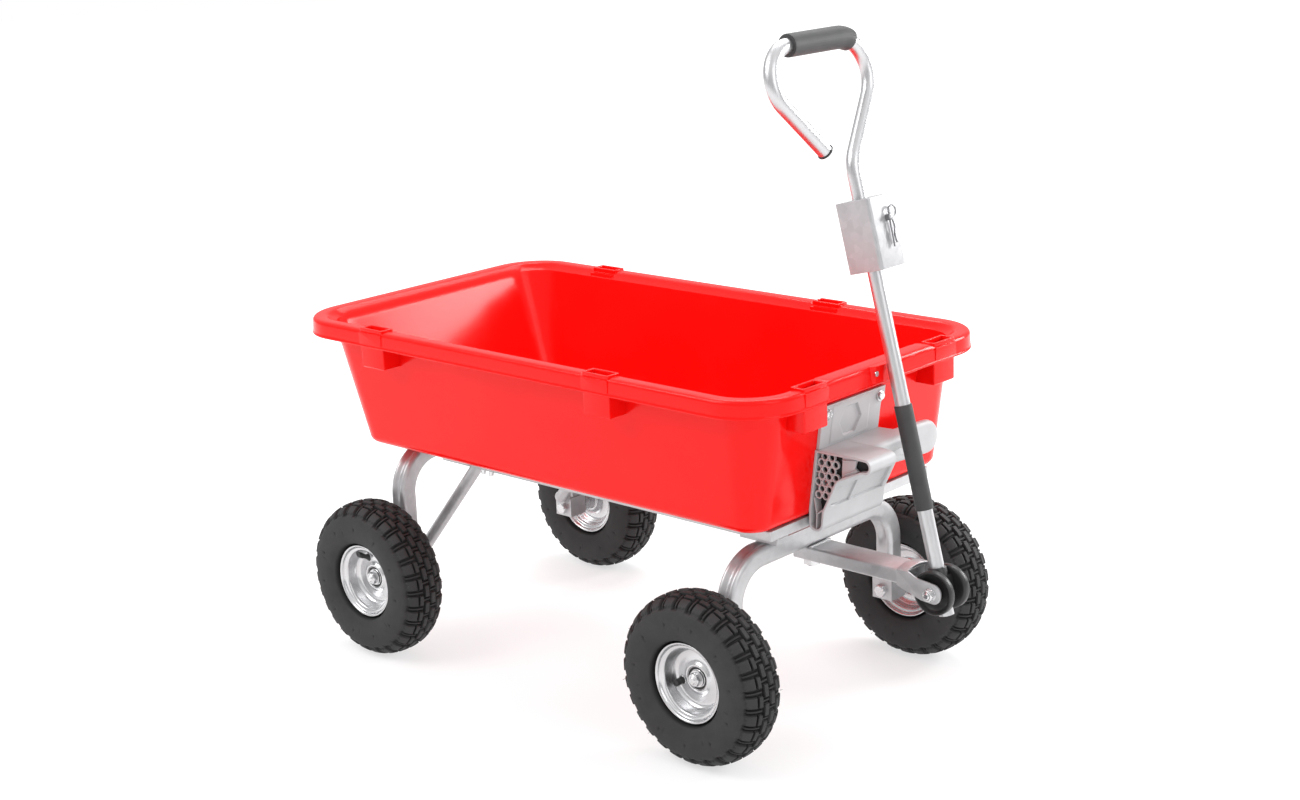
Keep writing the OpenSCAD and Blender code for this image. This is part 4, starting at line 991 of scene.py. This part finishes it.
def buildYoke():
    # two dished discs either side of a collar round the tube
    s = handleSizes
    shells = Shells()
    r = s["disc"]
    profile = np.array([[5.2, 12.0], [20.0, 12.0], [r - 4.5, 12.0], [r - 3.0, 12.4], [r - 0.8, 13.4], [r, 14.6], [r, 22.6],
                        [r - 0.5, 23.6],
                        [r - 1.6, 24.1], [r - 3.0, 23.8], [r - 4.2, 22.4], [r - 5.6, 19.4], [r - 8.5, 17.4], [r - 14.0,
                                                                                                              16.8], [12.5,
                                                                                                                      17.2],
                        [11.0, 19.0], [10.2, 22.6], [9.4, 23.9], [8.0, 24.1], [5.2, 24.1]])
    for side in (1, -1):
        lathe(shells, profile, lambda p, side=side: handlePlace(np.stack([p[..., 0], side * p[..., 2], p[..., 1]], -1)), 96,
              closed=True)
    lathe(shells, [[s["tube"] + 0.2, -22], [s["tube"] + 2.4, -22], [s["tube"] + 3, -21], [s["tube"] + 3, 31.5],
                   [s["tube"] + 2.2, 33],
                   [s["tube"] + 0.2, 33]], handlePlace, 48, closed=True)
    block(shells, (-14, -13, -20), (14, 13, 20), 1.0, 3.0, "y", handlePlace)
    makePiece("pivotYoke", shells, "handle", finishes["blackPlastic"], ["pivot_yoke"])


def buildHitch():
    # one sheet folded into a channel round the tube, with its end plates
    s = handleSizes
    shells = Shells()
    h, b, f, t = s["bracketHalf"], s["bracketBack"], s["bracketFront"], 3.0
    z0, z1 = s["bracketAt"], s["bracketAt"] + s["bracketHigh"]
    outer = roundCorners([[b, -h], [f, -h], [f, h], [b, h], [b, h - t], [f - t, h - t], [f - t, -h + t], [b, -h + t]],
                         [0.6, 5.5, 5.5, 0.6, 0.6, 2.5, 2.5, 0.6], 9)
    slab(shells, outer, z0, z1, 0.5, "z", handlePlace)
    for low, bore in ((z0, 0.0), (z1 - t, s["tube"] + 0.4)):
        plate = rectangle(b + 1.0, f - t - 0.2, -h + t + 0.2, h - t - 0.2, 1.5, 12)
        if bore:
            around = np.arctan2(plate[:, 1], plate[:, 0])
            hole = bore * np.stack([np.cos(around), np.sin(around)], -1)
            frameSlab(shells, plate, hole, low + 0.1, low + t - 0.1, 0.4, "z", handlePlace)
        else:
            slab(shells, plate, low + 0.1, low + t, 0.4, "z", handlePlace)
    makePiece("hitchBracket", shells, "handle", finishes["hitchSteel"], ["hitch_bracket"], sharp=30)
    pin = Shells()
    def pinPlace(p):
        return handlePlace(np.stack([p[..., 2], s["pinY"] + p[..., 0], s["pinAt"] + p[..., 1]], -1))
    lathe(pin, roundEdge(s["pin"], f + 8, 1.0, -17.0), pinPlace, 36)
    lathe(pin, roundEdge(s["pin"] + 3, -16.5, 0.6, -19.5), pinPlace, 36)
    makePiece("hitchPin", pin, "handle", finishes["pinSteel"], ["hitch_pin"])
    clip = Shells()
    x, y0 = f + 4.0, s["pinY"]
    ringA = np.linspace(-0.5, 2 * math.pi - 1.35, 40)
    loop = np.stack([y0 + 8.8 - 8.0 * np.cos(ringA), s["pinAt"] + 8.0 + 8.0 * np.sin(ringA)], -1)
    t = np.linspace(0, 1, 30)
    straight = np.stack([y0 + 0 * t, s["pinAt"] + 3 - 45 * t], -1)
    wave = np.stack([y0 + 4.4 + 3.6 * np.sin(t * 1.35 * math.pi) ** 2 * (1 - 0.35 * t) + 0.6 * t, s["pinAt"] + 1 - 38 * t], -1)
    line = np.concatenate([straight[::-1], loop, wave])
    keep = np.concatenate([[True], np.linalg.norm(np.diff(line, axis=0), axis=1) > 0.3])
    line = line[keep]
    for _ in range(3):
        line[1:-1] = (line[:-2] + 2 * line[1:-1] + line[2:]) / 4
    depth = x + 0.8 * np.sin(np.linspace(0, math.pi, len(line)))
    sweep(clip, np.stack([depth, line[:, 0], line[:, 1]], -1), circle(s["clip"], 12), (1, 0, 0), place=handlePlace)
    makePiece("hitchClip", clip, "r_clip", finishes["pinSteel"], ["hitch_clip"])


finishes["pinSteel"] = metalFinish("pinSteel", (0.26, 0.26, 0.27), 0.34, 0.06, (40, 40, 40), metallic=0.85)
finishes["hitchSteel"] = metalFinish("hitchSteel", (0.45, 0.45, 0.46), 0.50, 0.08, (60, 60, 60), metallic=0.55, spangle=0.3)
buildHandle()
buildYoke()
buildHitch()
print("handle made")


# handle clip on the rim
clipSizes = dict(half=30.0, top=559.0, bottom=533.0)


def buildHandleClip():
    # a plate that stands out of the rim and opens round the tube
    s, h, t = clipSizes, handleSizes, tubSizes
    lean = math.tan(math.radians(h["lean"]))
    tubeAt = tongueSizes["pivotX"] - (t["rimTop"] - tongueSizes["pivotZ"]) * lean
    front = tubeAt - h["tube"] - 3.6
    a = np.linspace(math.radians(38), math.radians(-38), 16)
    z = np.array([s["bottom"], s["bottom"] + 0.8, s["top"] - 0.8, s["top"]])
    rows = []
    for height, d in zip(z, (0.8, 0, 0, 0.8)):
        centre = tongueSizes["pivotX"] - (height - tongueSizes["pivotZ"]) * lean
        r = h["tube"] + 2 + d
        notch = np.stack([np.maximum(np.minimum(centre - r * np.cos(a), front - d), t["front"] - 4), r * np.sin(a) * 1.05], -1)
        edge = np.array([[t["front"] - 22, -s["half"] + d], [front - 7, -s["half"] + d], [front - 1 - d, -s["half"] + 6 + d],
                         [front - 1 - d, -11.5]])
        line = np.concatenate([edge, notch[::-1], edge[::-1] * [1, -1]])
        rows.append(stand(line, height, "z"))
    shells = Shells().grid(np.stack(rows))
    makePiece("handleClip", shells, "bed", finishes["redPlastic"], ["handle_clip"], sharp=30)


buildHandleClip()


# latch
latchSizes = dict(low=-108.0, high=38.0, step=-47.0, reach=87.0, shortReach=49.0, barZ=438.0, bar=11.0, skin=3.5, web=6.0,
                  ringOuter=6.4, ringInner=4.3, ringGap=12.6, recess=4.6, plateLow=449.0, plateHigh=513.0, boltZ=500.0,
                  leverOut=11.5, leverZ=398.0, shaftRadius=5, shaftEnd=77, paddleLong=112)


def housingLine(reach, t):
    # side outline from the wall over the lifting bar and down the front panel
    s, x = latchSizes, frontWall(448.0)
    def arc(cx, cz, r, a0, a1, n):
        a = np.radians(np.linspace(a0, a1, n))
        return np.stack([cx + r * np.cos(a), cz + r * np.sin(a)], -1)
    def straight(a, b, n):
        return mix(np.array(a), np.array(b), np.linspace(0, 1, n)[:, None])
    low = frontWall(358.0) + 0.3 + t
    return np.concatenate([[[x + 0.3 + t, 448.5 - t]], straight([x + 10, 448.7 - t], [x + reach - 20, 449.5 - t], 6),
                           arc(x + reach, s["barZ"], s["bar"] - t, 84, -100, 22),
                           straight([x + reach - 8, 426.0 + t * 0.9], [x + 47.0, 411.5 + t], 8),
                           [[x + 42 + t / 2, 409.4 + t], [x + 39.0 - t / 3, 407.4 + t / 2]],
                           straight([x + 37 - t, 404.0], [x + 14 - t, 358.0], 26),
                           arc(frontWall(345.0) + 14, 339.0, 13 - t, 0, -160, 20),
                           [[low, 352.0], [low, 358.0], [frontWall(400.0) + 0.3 + t, 400.0]]])


def buildHousing():
    # the side outline carried across, further out over the lifting bar, with a wall of even thickness
    s = latchSizes
    y = np.concatenate([[s["low"], s["low"] + 0.5], np.linspace(s["low"] + 3, s["step"] - 2, 36),
                        [s["step"] - 0.3, s["step"] + 0.3],
                        np.linspace(s["step"] + 3, s["high"] - 2, 48), [s["high"] - 0.5, s["high"]]])
    def layer(t, edge):
        rows = []
        for v in y:
            reach = s["reach"] if v < s["step"] else s["shortReach"]
            end = edge if v in (y[0], y[-1]) else 0.0
            rows.append(stand(housingLine(reach, t + end), v, "y"))
        return np.stack(rows)
    outer, inner = layer(0.0, 0.4), layer(s["skin"], -0.4)
    # the front panel's recess: pushed in where both its distance across and its height lie inside the frame
    z = outer[..., 2]
    panel = np.zeros(outer.shape[1])
    panel[39:65] = 1
    deep = (ease(y, s["low"] + 11, s["low"] + 14) * (1 - ease(y, s["high"] - 11, s["high"] - 8)))[:, None] * panel
    deep = deep * ease(z, 361, 364) * (1 - ease(z, 394, 397))
    outer[..., 0] -= s["recess"] * deep
    inner[..., 0] -= s["recess"] * deep
    shells = Shells().grid(np.concatenate([outer, inner[::-1]]), wrapRows=True)
    for reach, at in ((s["shortReach"], s["high"] - 3.5), (s["reach"], s["step"] - 3.4)):
        slab(shells, housingLine(reach, 1.0)[:-3], at, at + 3.0, 0.3, "y")
    makePiece("latchHousing", shells, "bed", finishes["greyPlastic"], ["latch_housing"], sharp=36)


def buildLattice():
    # rings in offset rows fill the side of the housing, beside a plain web and over an open trough
    s = latchSizes
    x0 = frontWall(448.0)
    shells = Shells()
    i, j = np.meshgrid(np.arange(-2, 9), np.arange(-2, 12), indexing="ij")
    px = x0 - 4 + (i + 0.5 * (j % 2)) * s["ringGap"]
    pz = 372.0 + j * s["ringGap"] * 0.78
    left = frontWall(pz) + 5.0
    right = np.where(pz > 407, x0 + 44 - (pz - 407) * 0.35, x0 + 36 - (404 - pz) * 0.52)
    keep = (px > left) & (px < right) & (pz > 374) & (pz < 443)
    yLow = s["low"] + s["web"] - 2.5
    near, far = s["ringInner"], s["ringOuter"]
    ring = [[near, 0], [near, 3.2], [near + 0.4, 3.6], [far - 0.4, 3.6], [far, 3.2], [far, 0]]
    for cx, cz in zip(px[keep], pz[keep]):
        def ringPlace(p, cx=cx, cz=cz):
            return np.stack([cx + p[..., 0], yLow + 3.6 - p[..., 2], cz + p[..., 1]], -1)
        lathe(shells, ring, ringPlace, 22, closed=True)
    web = np.array([[x0 + 46, 446.0], [x0 + 74, 446.5], [x0 + 70, 440.0], [x0 + 68, 432.0], [x0 + 74, 428.0],
                    [x0 + 50, 414.0], [x0 + 44, 413.0]])
    slab(shells, web, yLow + 1.0, yLow + 4.0, 0.3, "y")
    for a, b, w in (((x0 + 47, 440.5), (x0 + 72, 444.0), 1.1), ((x0 + 47, 419.0), (x0 + 72, 430.5), 1.1)):
        d = unit(np.array(b) - np.array(a))
        n = np.array([-d[1], d[0]]) * w / 2
        slab(shells, np.array([a + n, a - n, b - n, b + n]), yLow - 1.6, yLow + 2, 0.3, "y")
    foot = np.array([frontWall(345.0) + 14.5, 352.0])
    for tip in ((frontWall(372.0) + 6.0, 376.0), (x0 + 14.5, 363.0), (frontWall(345.0) + 13.0, 329.0)):
        d = unit(np.array(tip) - foot)
        n = np.array([-d[1], d[0]]) * 0.9
        slab(shells, np.array([foot + n, foot - n, np.array(tip) - n, np.array(tip) + n]), s["low"] + 2.5, s["low"] + 26,
             0.3, "y")
    makePiece("latchLattice", shells, "bed", finishes["greyPlastic"])
    # painted shade: a near-black lining in the housing's upper hollow, a partition, and a backing plate behind the
    # rings, where the grey plastic lies in shadow
    shadeLining = Shells()
    line = housingLine(s["reach"], s["skin"] + 0.1)
    slab(shadeLining, line[line[:, 1] > 405], s["low"] + 9.5, s["step"] - 3.6, 0.2, "y")
    slab(shadeLining, housingLine(s["shortReach"], s["skin"] + 5.5), s["low"] + 16, s["low"] + 18, 0.2, "y")
    back = np.array([[frontWall(z) + gap, z] for z, gap in ((352.0, 1.2), (352.0, 3.0), (446.0, 3.0), (446.0, 1.2))])
    slab(shadeLining, back, s["low"] + 4, s["high"] - 4, 0.2, "y")
    makePiece("latchShadeLining", shadeLining, "bed", finishes["paintedShadeBlack"])


def buildLatchPlate():
    # a raised plate on the tub wall: its front face sinks to a floor inside a hexagon and a frame line
    s = latchSizes
    y0, y1 = s["low"] + 3, s["high"] + 4
    u, v = np.meshgrid(np.linspace(0, 1, 121), np.linspace(0, 1, 61), indexing="ij")
    z = mix(s["plateLow"], s["plateHigh"], v)
    y = mix(y0, y1 - 7 * (1 - ease(z, 488, 494)), u)
    tall, wide = (z - 480) * 0.5, (y + 38) * 0.866
    hexagon = np.maximum.reduce([np.abs(z - 480), np.abs(tall + wide), np.abs(tall - wide)])
    sink = 3.4 * (1 - ease(hexagon, 20.5, 22.5))
    frameLine = np.maximum(np.abs(y + 38) - 44, np.abs(z - 481) - 29)
    rise = 1.2 * (1 - ease(frameLine, -1.0, 0.8))
    front = np.stack([frontWall(z) + 5.2 + rise - sink, y, z], -1)
    back = np.stack([frontWall(z) + 0.3, y, z], -1)
    shells = Shells()
    edge = np.concatenate([front[:, 0], front[-1, 1:], front[-2::-1, -1], front[0, -2:0:-1]])
    edgeBack = np.concatenate([back[:, 0], back[-1, 1:], back[-2::-1, -1], back[0, -2:0:-1]])
    mid = (edge + edgeBack) / 2
    shells.grid(front, wrapCols=False, caps=False)
    shells.grid(np.stack([edge, mid, edgeBack]), caps=False)
    shells.grid(back, wrapCols=False, caps=False)
    makePiece("latchPlate", shells, "bed", finishes["greyPlastic"], ["latch_plate"], sharp=30)
    bolts = Shells()
    for y in (s["low"] + 14, s["high"] + 4 - 12):
        face = frontWall(s["boltZ"]) + 6.0
        def place(p, y=y, face=face):
            return np.stack([face + p[..., 2], y + p[..., 0], s["boltZ"] + p[..., 1]], -1)
        lathe(bolts, roundEdge(8.2, 1.2, 0.4, 0.0), place, 40)
        hexHead(bolts, 11.5, 1.2, 4.6, place, dome=1.0)
        inside = frontWall(s["boltZ"]) - tubSizes["wall"]
        def back(p, y=y, inside=inside):
            return np.stack([inside - p[..., 2], y + p[..., 0], s["boltZ"] + p[..., 1]], -1)
        lathe(bolts, roundEdge(8.5, 1.4, 0.4, 0.0), back, 40)
        hexHead(bolts, 11.5, 1.4, 5.0, back, dome=1.0)
    makePiece("tubBolts", bolts, "bed", finishes["brightSteel"], ["tub_bolts"])


def buildPaddle():
    # rounded sections, upright ovals that shrink to a half round at the far end
    s = latchSizes
    y0, y1 = s["high"] + 3, s["high"] + 3 + s["paddleLong"]
    t = np.concatenate([np.linspace(0, 0.06, 5), np.linspace(0.09, 0.74, 16),
                        0.76 + 0.239 * np.sin(np.linspace(0, math.pi / 2, 18))])
    y = mix(y0, y1, t)
    tip = np.sqrt(np.clip(1 - (np.maximum(y - (y1 - 26), 0) / 26.2) ** 2, 0.002, 1))
    start = np.sqrt(np.clip(1 - (np.maximum(y0 + 6 - y, 0) / 6.4) ** 2, 0, 1))
    high = mix(25.0, 26.0, t) * tip * (0.8 + 0.2 * start)
    thick = 9.8 * mix(1, tip, 0.65) * (0.75 + 0.25 * start)
    cx = frontWall(448.0) + s["leverOut"] + mix(9, 12, t)
    cz = mix(419.0, 414.0, t)
    a = np.linspace(0, 2 * math.pi, 56, endpoint=False)
    power = 2 / 2.8
    ox = np.sign(np.cos(a)) * np.abs(np.cos(a)) ** power
    oz = np.sign(np.sin(a)) * np.abs(np.sin(a)) ** power
    hollow = 2.2 * np.exp(-((y - mix(y0, y1, 0.55)) / 30) ** 2)[:, None] * np.exp(-(oz / 0.6) ** 2)[None] * (ox > 0)[None]
    grid = np.stack([cx[:, None] + thick[:, None] * ox - hollow, np.broadcast_to(y[:, None], (len(y), len(a))),
                     cz[:, None] + high[:, None] * oz], -1)
    makePiece("releasePaddle", Shells().grid(grid), "latch_lever", finishes["greyPlastic"],
              ["release_paddle"], sharp=50)


def buildShaft():
    # the lever's shaft, and the hooked arm that catches the cross member
    s = latchSizes
    x, z = frontWall(448.0) + s["leverOut"], s["leverZ"]
    shells = Shells()
    lathe(shells, roundEdge(s["shaftRadius"], s["shaftEnd"], 0.6, s["low"] + 12),
          lambda p: np.stack([x + p[..., 0], p[..., 2], z + p[..., 1]], -1), 40)
    line = roundCorners([[x - 10, z + 6], [x + 3, z + 8], [x + 6, z - 6], [x - 16, 352], [x - 18, 336.5],
                         [railSizes["front"] + 1.5, 336.5],
                         [railSizes["front"] + 1.5, 345], [x - 22.5, 352]], [3, 4, 4, 3, 0.6, 0.6, 0.6, 2], 5)
    slab(shells, line, -34, -26, 0.5, "y")
    makePiece("latchShaft", shells, "latch_lever", finishes["brightSteel"], ["latch_shaft"])


buildHousing()
buildShaft()
buildLattice()
buildLatchPlate()
buildPaddle()
print("latch made")


# studio
studio = dict(azimuth=42.996, elevation=15.4245, roll=-2.3846, distance=3.3451, target=(-0.013595, -0.012847, 0.437155),
              lens=58.742)


# each lamp's place, target, size in metres and power in watts
lights = dict(keyLight=((-1.6, -2.4, 3.2), (0, 0, 0.35), (2.2, 2.2), 70),
              cornerLight=((1.3, 1.9, 1.25), (-0.45, 0, 0.45), (0.75, 0.9), 36),
              sideLight=((3.4, -0.6, 2.2), (0.2, 0, 0.3), (1.6, 2.4), 26),
              topLight=((-0.6, 1.6, 3.4), (0, 0, 0.4), (3.0, 1.6), 80))


def buildCamera():
    # stands back from the target along the direction that azimuth and elevation give, then rolls
    a, e, r = (math.radians(studio[k]) for k in ("azimuth", "elevation", "roll"))
    back = Vector((math.sin(a) * math.cos(e), -math.cos(a) * math.cos(e), math.sin(e)))
    right = Vector((0, 0, 1)).cross(back).normalized()
    up = back.cross(right)
    right, up = right * math.cos(r) + up * math.sin(r), up * math.cos(r) - right * math.sin(r)
    camera = bpy.data.objects.new("camera", bpy.data.cameras.new("camera"))
    camera.data.sensor_width, camera.data.lens = 36, studio["lens"]
    camera.data.clip_start, camera.data.clip_end = 0.05, 60
    camera.matrix_world = Matrix.Translation(Vector(studio["target"]) + back * studio["distance"]) @ Matrix(
        (right, up, back)).transposed().to_4x4()
    bpy.context.scene.collection.objects.link(camera)
    bpy.context.scene.camera = camera


def buildLight(name, place, target, size, power):
    # a rectangular lamp turned towards its target
    lamp = bpy.data.lights.new(name, "AREA")
    lamp.shape, lamp.size, lamp.size_y, lamp.energy = "RECTANGLE", size[0], size[1], power
    holder = bpy.data.objects.new(name, lamp)
    holder.location = place
    holder.rotation_mode = "QUATERNION"
    holder.rotation_quaternion = (Vector(target) - Vector(place)).to_track_quat("-Z", "Y")
    bpy.context.scene.collection.objects.link(holder)


def buildFloor():
    # rings about the cart's middle, glowing more the further out they lie
    n = 60
    r = np.linspace(0.001, 14, n)
    a = np.linspace(0, 2 * math.pi, 96, endpoint=False)
    rows = np.stack([r[:, None] * np.cos(a), r[:, None] * np.sin(a), np.full((n, 96), -0.0006)], -1)
    mesh = bpy.data.meshes.new("floor")
    mesh.from_pydata(rows.reshape(-1, 3).tolist(), [], gridQuads(n, 96, False, True)[:, ::-1].tolist() + [list(range(95, -1,
                                                                                                                     -1))])
    f = Finish("paleFloor")
    away = f.add("ShaderNodeVectorMath", {"operation": "LENGTH"}, {0: f.coords}, out=1)
    glow = f.ramp(away * 0.25, [(0.1, (0.62, 0.62, 0.62)), (0.5, (1.0, 1.0, 1.0))])
    f.shader.inputs["Emission Strength"].default_value = 1.0
    mesh.materials.append(f.set(colour=(0.38, 0.38, 0.38, 1), roughness=0.9, specular=0.1, emission=glow))
    floor = bpy.data.objects.new("floor", mesh)
    bpy.context.scene.collection.objects.link(floor)


def buildWorld():
    # white all round, a little greyer near the horizon so that metal shows its shape
    world = bpy.data.worlds.new("studio")
    bpy.context.scene.world = world
    world.use_nodes = True
    nodes, links = world.node_tree.nodes, world.node_tree.links
    coords = nodes.new("ShaderNodeTexCoord")
    split = nodes.new("ShaderNodeSeparateXYZ")
    ramp = nodes.new("ShaderNodeValToRGB")
    ramp.color_ramp.elements[0].position, ramp.color_ramp.elements[1].position = 0.0, 0.75
    ramp.color_ramp.elements[0].color, ramp.color_ramp.elements[1].color = (0.42, 0.42, 0.43, 1), (1.0, 1.0, 1.0, 1)
    path = nodes.new("ShaderNodeLightPath")
    seen = nodes.new("ShaderNodeMix")
    seen.data_type = "RGBA"
    seen.inputs[7].default_value = (1.0, 1.0, 1.0, 1)
    back = nodes["Background"]
    links.new(coords.outputs["Generated"], split.inputs[0])
    links.new(split.outputs["Z"], ramp.inputs[0])
    links.new(path.outputs["Is Camera Ray"], seen.inputs[0])
    links.new(ramp.outputs[0], seen.inputs[6])
    links.new(seen.outputs[2], back.inputs[0])
    back.inputs[1].default_value = 1.0


buildCamera()
buildFloor()
buildWorld()
for name, light in lights.items():
    buildLight(name, *light)
bpy.context.scene.view_settings.view_transform = "Standard"
print("studio made")
